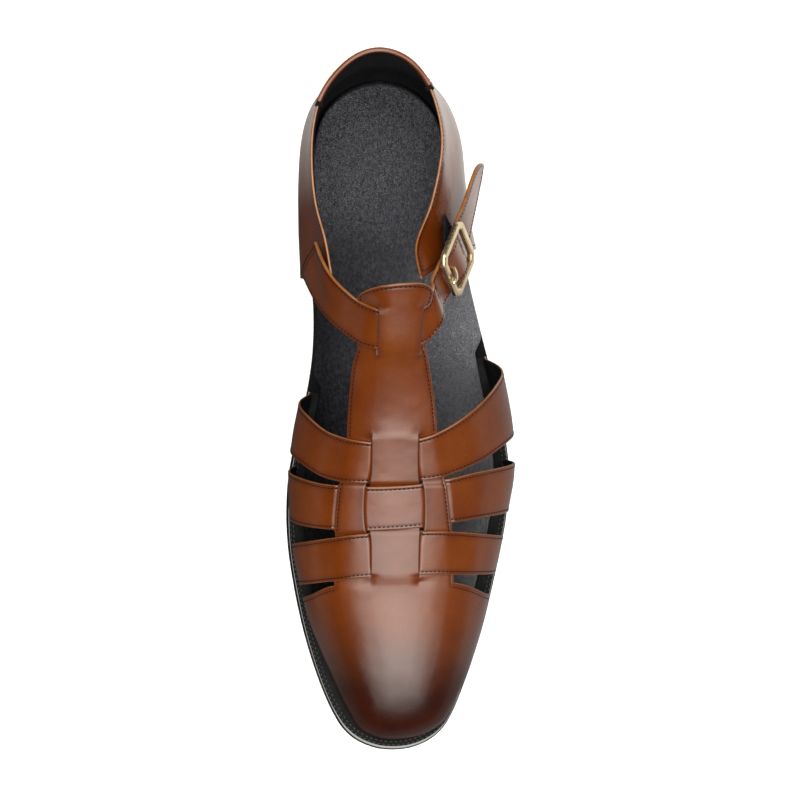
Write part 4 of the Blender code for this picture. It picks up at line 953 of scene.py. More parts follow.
for i in range(len(taus)):
    for j in range(NV):
        inner = len(v_wm) <= j < len(v_wm) + len(v_mid)
        back_edge = i == 0 and not inner
        corner = i == 0 and j in (len(v_wm), len(v_wm) + len(v_mid) - 1)
        vamp_ids[i, j] = add(vamp[i, j], back_edge or corner, back_edge or corner, FOLD if (back_edge or corner) else 0.0)
tuck = []
for j in (0, NV - 1):                                  # lower edge behind the welt
    tuck.append([add(vamp[i, j] + np.array([0, 0, -1.6]), False, False, 0.0) for i in range(len(taus))])
quads = []
A, B, C = (np.array(lanes[k]) for k in "ABC")
for L in (A, B, C):
    quads.append(grid_faces(L))
j0 = len(v_wm)
joined = np.concatenate([A[-1], B[-1][1:], C[-1][1:]])
quads.append(grid_faces(np.stack([joined, vamp_ids[0, j0:j0 + len(v_mid)]])))
quads.append(grid_faces(vamp_ids))
quads.append(grid_faces(np.stack([np.array(tuck[0]), vamp_ids[:, 0]], 1)))
quads.append(grid_faces(np.stack([vamp_ids[:, -1], np.array(tuck[1])], 1)))
vamp_ob = skin("vamp_and_tbar", np.array(pts), np.concatenate(quads), [COGNAC_TOE, LINING], LAYER_T, free=np.array(meta_free),
               sewn=np.array(meta_sewn), fold_at=np.array(meta_fold), towards=OUT_FROM, crown=0.07)
finish_piece(vamp_ob, "upper", "upper")

# stitch lines of the T-bar: both sides and round the tab, and along the vamp's back edge
P = np.array(pts)
SEAM_COL = 2


def hidden_by_strap(q):
    """below the ankle strap or below a cross strap that lies over the side finger"""
    y = q[1]
    v = float(across_at(np.array([y]), np.array([q[0]]))[0])
    if 24.6 < y < 40.6:
        return True
    for key in ("first", "third"):
        if edge[key + "_front"](v) - 0.3 < y < edge[key + "_back"](v) + 0.3:
            return True
    return y < -53.0


def line_normals(line):
    v = across_at(line[:, 1], line[:, 0])
    return form_normal(line[:, 1], v)


n_tab = len(tab_rows)
tab_line = np.concatenate([P[A[SEAM_COL, SEAM_COL:-1]], P[B[SEAM_COL]], P[C[SEAM_COL, 1:-SEAM_COL]]])
seams.seam(tab_line, line_normals(tab_line), depth=0.1)
for L, col in ((A, SEAM_COL), (C, -1 - SEAM_COL)):
    line = P[L[SEAM_COL:, col]]
    seams.seam(line, line_normals(line), skip=hidden_by_strap, depth=0.1)
SEAM_ROW = 2
for a, b in ((0, j0 + 1), (NV - j0 - 1, NV)):
    line = vamp[SEAM_ROW, a:b]
    v = v_back[a:b]
    seams.seam(line, form_normal(line[:, 1], v), skip=lambda q: -26.5 < q[0] < 18.5, depth=0.1)

# ================================================================ heel quarter
turn_rows = np.array([float(turn_of(r[0])) if r[1] == LAT else -float(turn_of(r[0])) for r in QUARTER_ROWS])
q_fun = [eased(-turn_rows, column(QUARTER_ROWS, k)) for k in (2, 3, 4, 5)]


def quarter_at(turn, up):
    """inside of the quarter wall and its outward direction, up = 0 sole .. 1 collar"""
    fx, fy = outline(turn, QUARTER_INSET)
    ox, oy = outline(turn, QUARTER_INSET - 1.0)
    tx, ty, tz, bul = [f(-turn) for f in q_fun]
    ahead = np.maximum(0.0, turn_rows[-1] - turn) * Y_HALF
    c = up ** QUARTER_LEAN
    out = bul * 9.4815 * up * (1 - up) ** 3
    fz = sole_top(fy) + GAP
    wall = np.stack([fx + (tx - fx) * c + (ox - fx) * out, fy + (ty - ahead - fy) * c + (oy - fy) * out, fz + (tz - fz) * up], -1)
    return wall, np.stack([ox - fx, oy - fy, 0.25 + 0 * fx], -1)


def quarter_wall(turn, up):
    """grid of the inside of the quarter wall with its normals"""
    wall, away = quarter_at(turn, up)
    return wall, grid_normals(wall, away)


q_turn = np.concatenate([turn_rows[0] - np.array([0.0, 0.004, 0.008, 0.012, 0.018]),
                         np.linspace(turn_rows[0] - 0.026, turn_rows[-1] + 0.026, 150),
                         turn_rows[-1] + np.array([0.018, 0.012, 0.008, 0.004, 0.0])])
q_up = np.concatenate([np.linspace(0, 0.945, 34), [0.958, 0.970, 0.979, 0.986, 0.993]])
qt, qu = np.meshgrid(q_turn, q_up, indexing="ij")
qg, qn = quarter_wall(qt, qu)
qn[:, 0, :2] = unit(qn[:, 0, :2])
qn[:, 0, 2] = 0
skive = smooth((qu - 0.90) / 0.09)
outer = qg + qn * (QUARTER_WALL - 0.1 - 0.35 * skive)[..., None]
outer = np.concatenate([outer[:, :1] + np.array([0, 0, -0.25]), outer], 1)
r, c = outer.shape[:2]
free = np.zeros((r, c), bool)
free[:, -1] = free[0, 1:] = free[-1, 1:] = True
sewn = np.zeros((r, c), bool)
sewn[:, -1] = sewn[0, 4:] = sewn[-1, 4:] = True
fold_at = np.where(free, 0.5, 0.0)
quarter_ob = skin("heel_quarter_leather", outer.reshape(-1, 3), grid_faces(np.arange(r * c).reshape(r, c)), [COGNAC, LINING], (QUARTER_WALL - 0.2 - 0.95 * np.concatenate([skive[:, :1], skive], 1)).reshape(-1),
                  free=free.reshape(-1), sewn=sewn.reshape(-1), fold_at=fold_at.reshape(-1), towards=qn[:, [0] + list(range(c - 1))].reshape(-1, 3), rings=8)
finish_piece(quarter_ob, "heel_quarter", "heel_quarter")
q_norm = qn[:, [0] + list(range(c - 1))]


def quarter_line(turns, ups, lift):
    """points on the outside of the quarter"""
    tg, ug = np.asarray(turns, float), np.asarray(ups, float)
    w, away = quarter_at(tg, ug)
    nn = unit(np.cross(quarter_at(tg + 1e-3, ug)[0] - w, w - quarter_at(tg, ug - 0.004)[0]))
    nn *= np.where(np.sum(nn * away, axis=-1, keepdims=True) < 0, -1, 1)
    return w + nn * (QUARTER_WALL - 0.1 - 0.35 * smooth((ug - 0.90) / 0.09) + lift)[..., None], nn


lt, ln = quarter_line(q_turn[3:-3], np.full(len(q_turn) - 6, 0.978), 0.0)
seams.seam(lt, ln, depth=0.1)
for tt in (q_turn[3], q_turn[-4]):
    ups = np.linspace(0.05, 0.975, 60)
    lt, ln = quarter_line(np.full(60, tt), ups, 0.0)
    seams.seam(lt, ln, depth=0.1)

# back tab over the collar, between its two bar tacks
TAB_FROM, TAB_TO = float(turn_of(133.0)), -float(turn_of(127.5))
tb = np.linspace(TAB_FROM, TAB_TO, 60)
depth_mm = level([-1.0, -0.92, -0.6, -0.25, 0.0, 0.25, 0.6, 0.92, 1.0], [5.0, 6.2, 13.0, 25.0, 29.0, 25.0, 13.0, 6.2, 5.0])
rows = []
for i, t in enumerate(tb):
    s = 2 * i / (len(tb) - 1) - 1
    dm = float(depth_mm(s))
    tall = float(q_fun[2](-t)) - 26.0
    down = np.concatenate([np.array([0.0, 0.45, 0.9, 1.35, 2.1]), np.linspace(2.1, dm - 2.1, 16)[1:-1], dm - np.array([2.1, 1.35, 0.9, 0.45, 0.0])]) if dm > 5.4 else \
        np.concatenate([np.linspace(0, dm / 2, 12)[:-1], np.linspace(dm / 2, dm, 13)])
    ups = 1.0 + 0.3 / tall - down / tall
    lt, ln = quarter_line(np.full(len(ups), t), np.minimum(ups, 0.9995), 0.72)
    over_top = np.maximum(ups - 0.9995, 0) * tall
    rows.append(lt + np.array([0, 0, 1.0]) * over_top[:, None])
bt = np.array(rows)
r, c = bt.shape[:2]
edge_mask = np.zeros((r, c), bool)
edge_mask[0, :] = edge_mask[-1, :] = edge_mask[:, 0] = edge_mask[:, -1] = True
sewn = edge_mask.copy()
sewn[:, 0] = False
ctr = bt.mean(axis=(0, 1)) + np.array([0, -60.0, -10.0])
tab_ob = skin("heel_back_tab", bt.reshape(-1, 3), grid_faces(np.arange(r * c).reshape(r, c)), [COGNAC, LINING], 0.8, fold=0.4, free=edge_mask.reshape(-1),
              sewn=sewn.reshape(-1), towards=ctr)
finish_piece(tab_ob, "heel_quarter", "heel_quarter")
low = bt[1:-1, -3]
nn = unit(low - (low.mean(0) + np.array([0, -40.0, 0])))
seams.seam(low, nn, depth=0.05)
# rim of the tab: folded over the collar to the inside
rim_rows = []
for t in tb:
    w, nn = quarter_line(np.array([t]), np.array([0.9995]), 0.0)
    top_p = w[0] - nn[0] * 0.32
    ring = []
    for a in np.linspace(-0.15 * math.pi, 1.15 * math.pi, 13):
        ring.append(top_p + nn[0] * (1.08 * math.cos(a)) + np.array([0, 0, 1.0]) * (0.85 * math.sin(a) + 0.1))
    rim_rows.append(ring)
rr = np.array(rim_rows)
r, c = rr.shape[:2]
ends = np.zeros((r, c), bool)
ends[0, :] = ends[-1, :] = True
rim_ob = skin("heel_back_tab_fold", rr.reshape(-1, 3), grid_faces(np.arange(r * c).reshape(r, c)), [COGNAC, COGNAC], 0.4, fold=0.15,
              free=ends.reshape(-1), towards=(rr - rr.mean(axis=1, keepdims=True)).reshape(-1, 3))
finish_piece(rim_ob, "heel_quarter", "heel_quarter")
# bar tacks at the ends of the tab
for t, sgn in ((TAB_FROM, 1), (TAB_TO, -1)):
    for k in range(4):
        w, nn = quarter_line(np.array([t + sgn * (0.006 * k - 0.004)]), np.array([0.975]), 0.3)
        seams.stitch(w[0] + nn[0] * 0.2, np.array([0, 0, 1.0]), nn[0], 3.6, 0.32)
        w, nn = quarter_line(np.array([t + sgn * (0.006 * k - 0.004)]), np.array([0.999]), 0.0)
        seams.stitch(w[0] - nn[0] * 1.0 + np.array([0, 0, 1.05]), nn[0], np.array([0, 0, 1.0]), 3.2, 0.3)

# ================================================================ ankle strap
wall_tree = BVHTree.FromPolygons([Vector(v) for v in (qg + qn * QUARTER_WALL).reshape(-1, 3)],
                                 grid_faces(np.arange(qg.shape[0] * qg.shape[1]).reshape(qg.shape[:2])).tolist())
eg, en = quarter_wall(*np.meshgrid(np.linspace(turn_rows[-3], turn_rows[-1] - 0.16, 25), np.linspace(0, 1, 9), indexing="ij"))
eg = eg + en * QUARTER_WALL
sewn_tree = BVHTree.FromPolygons([Vector(v) for v in eg.reshape(-1, 3)], grid_faces(np.arange(25 * 9).reshape(25, 9)).tolist())
along = np.array(BUCKLE_ALONG) / np.linalg.norm(BUCKLE_ALONG)
acro = np.array(BUCKLE_ACROSS) - along * np.dot(BUCKLE_ACROSS, along)
acro /= np.linalg.norm(acro)
face = np.cross(acro, along)
face *= 1 if face[0] > 0 else -1
centre = np.array(BUCKLE_AT)


def at_buckle(s, b, n):
    return centre + along * s + acro * b + face * n


STRAP_V = 1.5                          # finished strap thickness
tracks = np.linspace(0, 1, 5)
line = []
for uy, ua, ly, la, lift in STRAP_ROWS:
    y, a = uy + (ly - uy) * tracks, ua + (la - ua) * tracks
    base, off = form(y, a), form_normal(y, a)
    high = np.full(len(tracks), -9.0)
    for k, (p, d) in enumerate(zip(base, off)):
        hit = sewn_tree.ray_cast(Vector(p + d * 20.0), Vector(-d), 30.0)[0] if uy > SEWN_FROM_Y else None
        if hit:
            high[k] = float((np.array(hit) - p) @ d) + 0.1
    for k in range(len(tracks) - 2, -1, -1):
        if high[k] < -8.0:
            high[k] = high[k + 1]
    high += COLLAR_CLEAR * (1 - tracks)
    line.append(base + off * (np.maximum(lift, high) + STRAP_V / 2 + (0.0 if uy > SEWN_FROM_Y else 0.15))[:, None])
for s, b, n, hw, twist in TAIL_ROWS:
    q = (tracks * 2 - 1) * hw
    line.append(np.array([at_buckle(s, b + qq, n + twist * qq) for qq in q]))
line = np.array(line)
place = np.concatenate([[0.0], np.cumsum(np.linalg.norm(np.diff(line[:, 2], axis=0), axis=1))])
steps = np.concatenate([[0.0, 0.45, 0.9, 1.35, 2.1], np.linspace(3.0, place[-1] - 2.6, 170), place[-1] - np.array([2.1, 1.35, 0.9, 0.45, 0.0])])
fine = np.stack([np.stack([eased(place, line[:, j, k])(steps) for k in range(3)], -1) for j in range(5)], 1)
out_dir = fine - np.array([-8.0, 60.0, 45.0])
sn = grid_normals(fine, out_dir)
# pressed down below the bridge of the T-bar
bridge_at = inside(fine[:, :, 0], -12.9, 3.4, 3.2) * inside(fine[:, :, 1], 20.0, 46.0, 3.0)
fine = fine - sn * (0.42 * bridge_at)[..., None]
rows, nrows = [], []
for i in range(len(steps)):
    at = np.concatenate([[0], np.cumsum(np.linalg.norm(np.diff(fine[i], axis=0), axis=1))])
    d = FOLD + graded(max(at[-1] - 2 * FOLD, 0.8), 9) if at[-1] > 6.5 else FOLD + np.linspace(0, max(at[-1] - 2 * FOLD, 0.4), 19)
    rows.append(np.stack([eased(at, fine[i, :, k])(d) for k in range(3)], -1))
    nrows.append(np.stack([eased(at, sn[i, :, k])(d) for k in range(3)], -1))
st, stn = np.array(rows), unit(np.array(nrows))
st = st + stn * (STRAP_V / 2)
r, c = st.shape[:2]
edge_mask = np.zeros((r, c), bool)
edge_mask[:, 0] = edge_mask[:, -1] = edge_mask[0, :] = edge_mask[-1, :] = True
strap_ob = skin("ankle_strap", st.reshape(-1, 3), grid_faces(np.arange(r * c).reshape(r, c)), [COGNAC, COGNAC], STRAP_V, free=edge_mask.reshape(-1),
                sewn=edge_mask.reshape(-1), towards=stn.reshape(-1, 3), rings=8)
finish_piece(strap_ob, "upper", "upper")


def under_bridge(q):
    return -12.9 < q[0] < 3.5 and 18.0 < q[1] < 48.0


def under_bar(q):
    s = (q - centre) @ along
    return 9.0 < abs(s) < 13.5 or under_bridge(q)


for col in (2, c - 3):
    seams.seam(st[2:-3, col], stn[2:-3, col], skip=under_bar)
seams.seam(st[2, 2:-2], stn[2, 2:-2])
seams.seam(st[5, 2:-2], stn[5, 2:-2])

# ================================================================ buckle
L2, W2 = BUCKLE_LEN / 2 - BUCKLE_BAR / 2, BUCKLE_WID / 2 - BUCKLE_BAR / 2


k = BUCKLE_CUT
corner = [np.array(q) for q in ((-L2, -W2 + k), (-L2, W2 - k), (-L2 + k, W2), (L2 - k, W2), (L2, W2 - k), (L2, -W2 + k), (L2 - k, -W2), (-L2 + k, -W2))]
path = []
for i, q in enumerate(corner):             # straight bars, the cut corners a little rounded
    d1, d2 = unit(q - corner[i - 1]), unit(corner[(i + 1) % 8] - q)
    for t in (0.0, 0.5, 1.0):
        a, b = q - d1 * 0.35, q + d2 * 0.35
        path.append(a * (1 - t) ** 2 + 2 * q * t * (1 - t) + b * t * t)
rings = []
w, t = BUCKLE_BAR / 2 + 0.1, BUCKLE_BAR_T / 2
sec = [(-w, -t * 0.7), (-w * 0.93, -t * 0.92), (-w * 0.8, -t), (w * 0.8, -t), (w * 0.93, -t * 0.92), (w, -t * 0.7), (w, t * 0.45), (w * 0.97, t * 0.6),
       (w * 0.72, t * 0.95), (w * 0.6, t), (-w * 0.6, t), (-w * 0.72, t * 0.95), (-w * 0.97, t * 0.6), (-w, t * 0.45)]
for i, sb in enumerate(path):
    d = unit(path[(i + 1) % len(path)] - path[i - 1])
    side = np.array([d[1], -d[0]])
    rings.append([at_buckle(sb[0] + side[0] * a, sb[1] + side[1] * a, e) for a, e in sec])
rg = np.array(rings)
k = rg.shape[1]
ids = np.arange(rg.shape[0] * k).reshape(-1, k)
ids = np.concatenate([ids, ids[:1]], 0)
ids = np.concatenate([ids, ids[:, :1]], 1)
verts, faces = [tuple(p) for p in rg.reshape(-1, 3)], [tuple(int(x) for x in f) for f in grid_faces(ids)]
off = len(verts)
dip = [(W2, -0.1), (W2 - 0.35, -0.4), (W2 - 0.8, -1.05), (W2 - 1.25, -1.8), (W2 - 1.65, -2.2), (W2 - 2.2, -BUCKLE_SAG)]
dip = np.array([(-b, n) for b, n in dip] + [(-4.0, -BUCKLE_SAG), (0.0, -BUCKLE_SAG), (4.0, -BUCKLE_SAG)] + dip[::-1])
bar = []
for i, (b, n) in enumerate(dip):
    d = unit(dip[min(i + 1, len(dip) - 1)] - dip[max(i - 1, 0)])
    bar.append([at_buckle(BAR_R * math.cos(u), b - d[1] * BAR_R * math.sin(u), n + d[0] * BAR_R * math.sin(u)) for u in np.linspace(0, 2 * math.pi, 17)[:-1]])
bar = np.array(bar)
nb = len(dip)
ids = off + np.arange(nb * 16).reshape(nb, 16)
ids = np.concatenate([ids, ids[:, :1]], 1)
verts += [tuple(p) for p in bar.reshape(-1, 3)]
faces += [tuple(int(x) for x in f) for f in grid_faces(ids)] + [tuple(range(off, off + 16)), tuple(range(off + (nb - 1) * 16, off + nb * 16))[::-1]]


def outward(ob):
    """faces of a closed mesh turned outwards"""
    import bmesh
    bm = bmesh.new()
    bm.from_mesh(ob.data)
    bmesh.ops.recalc_face_normals(bm, faces=bm.faces[:])
    bm.to_mesh(ob.data)
    bm.free()
    return ob


frame_ob = outward(new_object("buckle_frame_polished", np.array(verts), faces, [BRASS]))
frame_ob.data.set_sharp_from_angle(angle=math.radians(28))
finish_piece(frame_ob, "buckle_frame", "buckle_frame")

prong_line = [(1.25, -BUCKLE_SAG - 0.2, 0.95), (0.7, -BUCKLE_SAG + 1.25, 0.95), (-0.6, -BUCKLE_SAG + 1.5, 0.95), (-1.6, -BUCKLE_SAG + 0.9, 1.0), (-3.5, -1.4, 1.0), (-6.5, 0.7, 1.0), (-9.5, 2.3, 0.98),
              (-12.0, 2.62, 0.9), (-13.2, 2.5, 0.72), (-13.7, 2.42, 0.35)]
pl = np.array(prong_line)
tt = np.concatenate([[0], np.cumsum(np.linalg.norm(np.diff(pl[:, :2], axis=0), axis=1))])
ss = np.linspace(0, tt[-1], 40)
ps, pn, pr = [eased(tt, pl[:, k])(ss) for k in range(3)]
rings = []
for i in range(len(ss)):
    i0, i1 = max(0, i - 1), min(len(ss) - 1, i + 1)
    ds, dn = unit(np.array([ps[i1] - ps[i0], pn[i1] - pn[i0]]))
    rad = PRONG_R * max(pr[i], 0.1)
    rings.append([at_buckle(ps[i] - dn * rad * math.sin(u), rad * 1.15 * math.cos(u), pn[i] + ds * rad * math.sin(u)) for u in np.linspace(0, 2 * math.pi, 17)[:-1]])
rg = np.array(rings)
ids = np.arange(len(ss) * 16).reshape(-1, 16)
ids = np.concatenate([ids, ids[:, :1]], 1)
faces = [tuple(int(x) for x in f) for f in grid_faces(ids)] + [tuple(range(16)), tuple(range((len(ss) - 1) * 16, len(ss) * 16))[::-1]]
prong_ob = outward(new_object("buckle_prong_polished", rg.reshape(-1, 3), faces, [BRASS]))
finish_piece(prong_ob, "buckle_prong", "buckle_prong")

# elastic tab with woven ribs, from the middle bar to the quarter
rows = []
for s in np.linspace(1.6, 17.0, 40):
    row = []
    for j, b in enumerate(np.linspace(-TAB_W / 2 + 0.3, TAB_W / 2 - 0.3, 45) + TAB_SIDE):
        hit = wall_tree.ray_cast(Vector(at_buckle(s, b, 8.0)), Vector(-face))[0]
        wall_n = float((np.array(hit) - centre) @ face) if hit else -30.0
        rib = 0.14 * math.cos(2 * math.pi * (b - TAB_SIDE) / 1.2)
        row.append(at_buckle(s, b, max(-5.1 - 0.35 * max(0.0, s - 3.0), wall_n + 0.9 + TAB_T / 2) + TAB_T / 2 + rib))
    rows.append(row)
tg = np.array(rows)
r, c = tg.shape[:2]
elastic_ob = skin("buckle_elastic", tg.reshape(-1, 3), grid_faces(np.arange(r * c).reshape(r, c)), [ELASTIC, ELASTIC], TAB_T, fold=0.3,
                  towards=np.broadcast_to(face, (r * c, 3)), crown=0.0)
finish_piece(elastic_ob, "buckle_tab", "buckle_tab")
# bar tack that holds the elastic to the quarter
for b in np.linspace(-TAB_W / 2 + 0.8, TAB_W / 2 - 0.8, 7) + TAB_SIDE:
    j = int(np.clip(round((b - TAB_SIDE + TAB_W / 2 - 0.3) / (TAB_W - 0.6) * 44), 0, 44))
    seams.stitch(tg[-4, j] + face * 0.1, along, face, 2.6, 0.3)

# ================================================================ insole, welt, outsole, heel
def side_lines(inset, turns):
    y0 = Y_MID + Y_HALF * np.cos(turns)
    return np.stack(outline(turns, inset(y0)), -1), np.stack(outline(2 * math.pi - turns, inset(y0)), -1)


def insole_side(welt_back, quarter_front, side, more):
    wall, edge_in, welt_in = QUARTER_INSET + 0.35, 0.5, 5.4
    turns_y = [quarter_front - 2.5, quarter_front - 6.0, welt_back + 9.5, welt_back + 1.5]
    inset = level([Y_HEEL, *turns_y, Y_TOE], [wall + more, wall + more, edge_in + more, edge_in + more, welt_in + more, WELT_IN + more])
    return side_lines(inset, ins_turns)[0 if side == LAT else 1]


ins_turns = np.unique(np.round(np.concatenate([np.linspace(0.0, math.pi, 150), *[
    turn_of([f - 2.5, f - 4.2, f - 6.0, w + 9.5, w + 7.5, w + 5.5, w + 3.5, w + 1.5]) for f, w in ((QUARTER_ROWS[0][0], WELT_BACK_LAT), (QUARTER_ROWS[-1][0], WELT_BACK_MED))]]), 6))
INS_FOLD = 0.9
la = insole_side(WELT_BACK_LAT, QUARTER_ROWS[0][0], LAT, INS_FOLD)
me_ = insole_side(WELT_BACK_MED, QUARTER_ROWS[-1][0], MED, INS_FOLD)
across_n = np.concatenate([[0, 0.012, 0.028, 0.05], np.linspace(0.08, 0.92, 34), [0.95, 0.972, 0.988, 1.0]])
g2 = la[:, None] * (1 - across_n[None, :, None]) + me_[:, None] * across_n[None, :, None]
s_ = across_n * 2 - 1
zz = sole_top(g2[..., 1]) + GAP + INSOLE_T
heel_cup = smooth((g2[..., 1] - 60) / 40)
arch = smooth((g2[..., 1] - 0) / 40) * (1 - smooth((g2[..., 1] - 60) / 40))
wide = smooth(np.linalg.norm(la - me_, axis=1) / 30)[:, None]
zz = zz + (heel_cup * (0.9 * np.abs(s_)[None, :] ** 3 - 0.5 * (1 - s_[None, :] ** 2)) + arch * 0.5 * np.clip(s_[None, :], 0, 1) ** 2) * wide
ig = np.concatenate([g2, zz[..., None]], -1)
r, c = ig.shape[:2]
ins_ob = skin("insole_footbed", ig.reshape(-1, 3), grid_faces(np.arange(r * c).reshape(r, c)), [FOOTBED, LINING], INSOLE_T, fold=INS_FOLD - 0.1,
              towards=np.broadcast_to(np.array([0, 0, 1.0]), (r * c, 3)), crown=0.0)
finish_piece(ins_ob, "insole", "insole")

# welt: flat stitched top, narrow groove, polished bevel that is wider round the toe; it thins out at its two back ends
t0, t1 = float(turn_of(WELT_BACK_LAT)), 2 * math.pi - float(turn_of(WELT_BACK_MED))
tt = np.linspace(t0, t1, 2400)
cx, cy = outline(tt, 3.0)
arc = np.concatenate([[0], np.cumsum(np.hypot(np.diff(cx), np.diff(cy)))])
n_ring = 620
dist = np.linspace(0, arc[-1], n_ring)
turns = np.interp(dist, arc, tt)
bevel = 0.5 + 0.95 * np.exp(-((turns - math.pi - 0.05) / 0.40) ** 4)
thin = smooth(np.minimum(dist, arc[-1] - dist) / 16.0)
one = np.ones(n_ring)
drop = bevel * math.tan(math.radians(24))
profile = [(WELT_IN * one, 0.3 * one), (WELT_IN * one, 3.45 * one), (8.7 * one, 3.65 * one), (7.0 * one, 3.7 * one), (5.4 * one, 3.7 * one), (4.4 * one, 3.7 * one), (3.4 * one, 3.7 * one),
           (1.55 + bevel, 3.7 * one), (1.35 + bevel, 3.62 * one), (1.25 + bevel, 3.2 * one), (1.05 + bevel, 3.1 * one), (0.9 + bevel, 3.25 * one), (0.85 + bevel, 3.5 * one), (0.78 + bevel, 3.56 * one),
           (0.80 + bevel * 0.5, 3.56 - drop * 0.5), (0.80 * one, 3.56 - drop), (0.72 * one, 3.4 - drop), (0.7 * one, 3.1 - drop), (0.7 * one, 1.2 * one), (0.75 * one, 0.6 * one), (1.2 * one, 0.3 * one)]
POLISHED = (13, 14, 15)
rows = []
for inset, z in profile:
    x, y = outline(turns, inset)
    rows.append(np.stack([x, y, sole_top(y) + 0.3 + (z - 0.3) * (0.12 + 0.88 * thin)], -1))
wg = np.array(rows).transpose(1, 0, 2)
r, c = wg.shape[:2]
ids = np.arange(r * c).reshape(r, c)
ids = np.concatenate([ids, ids[:, :1]], 1)
faces = [tuple(int(x) for x in f) for f in grid_faces(ids)] + [tuple(range(c)), tuple(range((r - 1) * c, r * c))[::-1]]
fmats = [1 if i % c in POLISHED else 0 for i in range((r - 1) * c)] + [0, 0]
welt_ob = outward(new_object("welt_stitched", wg.reshape(-1, 3), faces, [WELT_BLACK, BEVEL_BLACK], fmats))
finish_piece(welt_ob, "welt", "welt")
welt_thread = Thread()
keep = slice(30, -30)
for add_in in (1.5, 2.85):
    x, y = outline(turns, bevel + add_in)
    welt_thread.seam(np.stack([x, y, sole_top(y) + 3.74], -1)[keep], np.broadcast_to(np.array([0, 0, 1.0]), (n_ring - 60, 3)), pitch=2.2, length=1.8, radius=0.5, depth=0.02)
wt_ob = outward(welt_thread.make("welt_stitches", WELT_THREAD))
finish_piece(wt_ob, "welt", "welt")

# outsole: flat plate with a shaped edge
out_turns = np.linspace(0, math.pi, 170)
edge_profile = [(3.0, 5.0, 0), (1.2, 5.0, 0), (0.45, 4.9, 0), (0.12, 4.6, 0), (0.0, 4.1, 0), (0.05, 3.3, 0), (0.0, 2.2, 0), (0.12, 1.2, 0), (0.5, 0.5, 0), (1.1, 0.12, 0), (2.0, 0.0, 0), (3.4, 0.0, 0)]
loop_t = np.concatenate([out_turns, 2 * math.pi - out_turns[1:-1][::-1]])
rows = []
for inset, z, _ in edge_profile:
    x, y = outline(loop_t, inset)
    rows.append(np.stack([x, y, tread_z(y) + z], -1))
og = np.array(rows).transpose(1, 0, 2)
r, c = og.shape[:2]
ids = np.arange(r * c).reshape(r, c)
ids = np.concatenate([ids, ids[:1]], 0)
verts, faces = [tuple(p) for p in og.reshape(-1, 3)], [tuple(int(x) for x in f) for f in grid_faces(ids)]


def cap(loop_pts, loop_ids, z_of, cross=22):
    """fills the plate inside a loop with rows across; the loop runs lateral side then medial side"""
    global verts, faces
    n = len(out_turns)
    lat_ids = [loop_ids[i] for i in range(n)]
    med_ids = [loop_ids[0]] + [loop_ids[len(loop_ids) - i] for i in range(1, n - 1)] + [loop_ids[n - 1]]
    grid = np.empty((n, cross), int)
    for i in range(n):
        a, b = np.array(verts[lat_ids[i]]), np.array(verts[med_ids[i]])
        for j in range(cross):
            if j == 0:
                grid[i, j] = lat_ids[i]
            elif j == cross - 1:
                grid[i, j] = med_ids[i]
            elif i in (0, n - 1):
                grid[i, j] = lat_ids[i]
            else:
                p = a + (b - a) * j / (cross - 1)
                verts.append((p[0], p[1], float(z_of(p[1]))))
                grid[i, j] = len(verts) - 1
    for q in grid_faces(grid):
        f = [int(q[i]) for i in range(4) if q[i] != q[i - 1]]
        if len(set(f)) >= 3:
            faces.append(tuple(f))


n_edge = len(faces)
cap(None, [i * c for i in range(r)], sole_top)
n_top = len(faces)
cap(None, [i * c + c - 1 for i in range(r)], tread_z)
outsole_ob = outward(new_object("outsole_finished", np.array(verts), faces, [EDGE_BLACK, SOLE_TOP], [1 if n_edge <= i < n_top else 0 for i in range(len(faces))]))
for poly in outsole_ob.data.polygons:                  # all of the flat top is matt
    if poly.normal.z > 0.8:
        poly.material_index = 1
finish_piece(outsole_ob, "outsole", "outsole")

# heel: stacked lifts and a top piece
ht = np.linspace(0.0, float(turn_of(HEEL_FRONT_Y)), 60)
loop = np.concatenate([ht[::-1], -ht[1:]])
breast_n = 14
levels = []
LIFT = 4.6
for f in np.unique(np.concatenate([np.linspace(0, 1, 6)] + [k + np.array([-0.014, -0.004, 0.004, 0.014]) for k in (0.30, 0.53, 0.76)] + [[0.012, 0.03, 0.988]])):
    grv = 0.28 if min(abs(f - k) for k in (0.30, 0.53, 0.76)) < 0.008 else 0.0
    rnd = 0.5 if f < 0.004 else (0.15 if f < 0.02 else 0.0)
    levels.append((f, grv + rnd))
rows = []
for f, more in levels:
    inset = 0.6 + HEEL_TAPER * (1 - f) + more
    x, y = outline(np.mod(loop, 2 * math.pi), inset)
    yb = HEEL_FRONT_Y + 2.0 * (1 - f) + more
    y = np.maximum(y, yb)
    a, b = np.array([x[-1], yb]), np.array([x[0], yb])
    bx = np.linspace(0, 1, breast_n + 2)[1:-1]
    px = np.concatenate([x, a[0] + (b[0] - a[0]) * bx])
    curve = 2.2 * np.sin(math.pi * bx)
    py = np.concatenate([y, yb + curve])
    top = tread_z(py) - GAP
    rows.append(np.stack([px, py, top * f], -1))
hg = np.array(rows)
r, c = hg.shape[:2]
ids = np.arange(r * c).reshape(r, c)
ids = np.concatenate([ids, ids[:, :1]], 1)
verts, faces = [tuple(p) for p in hg.reshape(-1, 3)], [tuple(int(x) for x in f) for f in grid_faces(ids)]
n_back = len(loop)
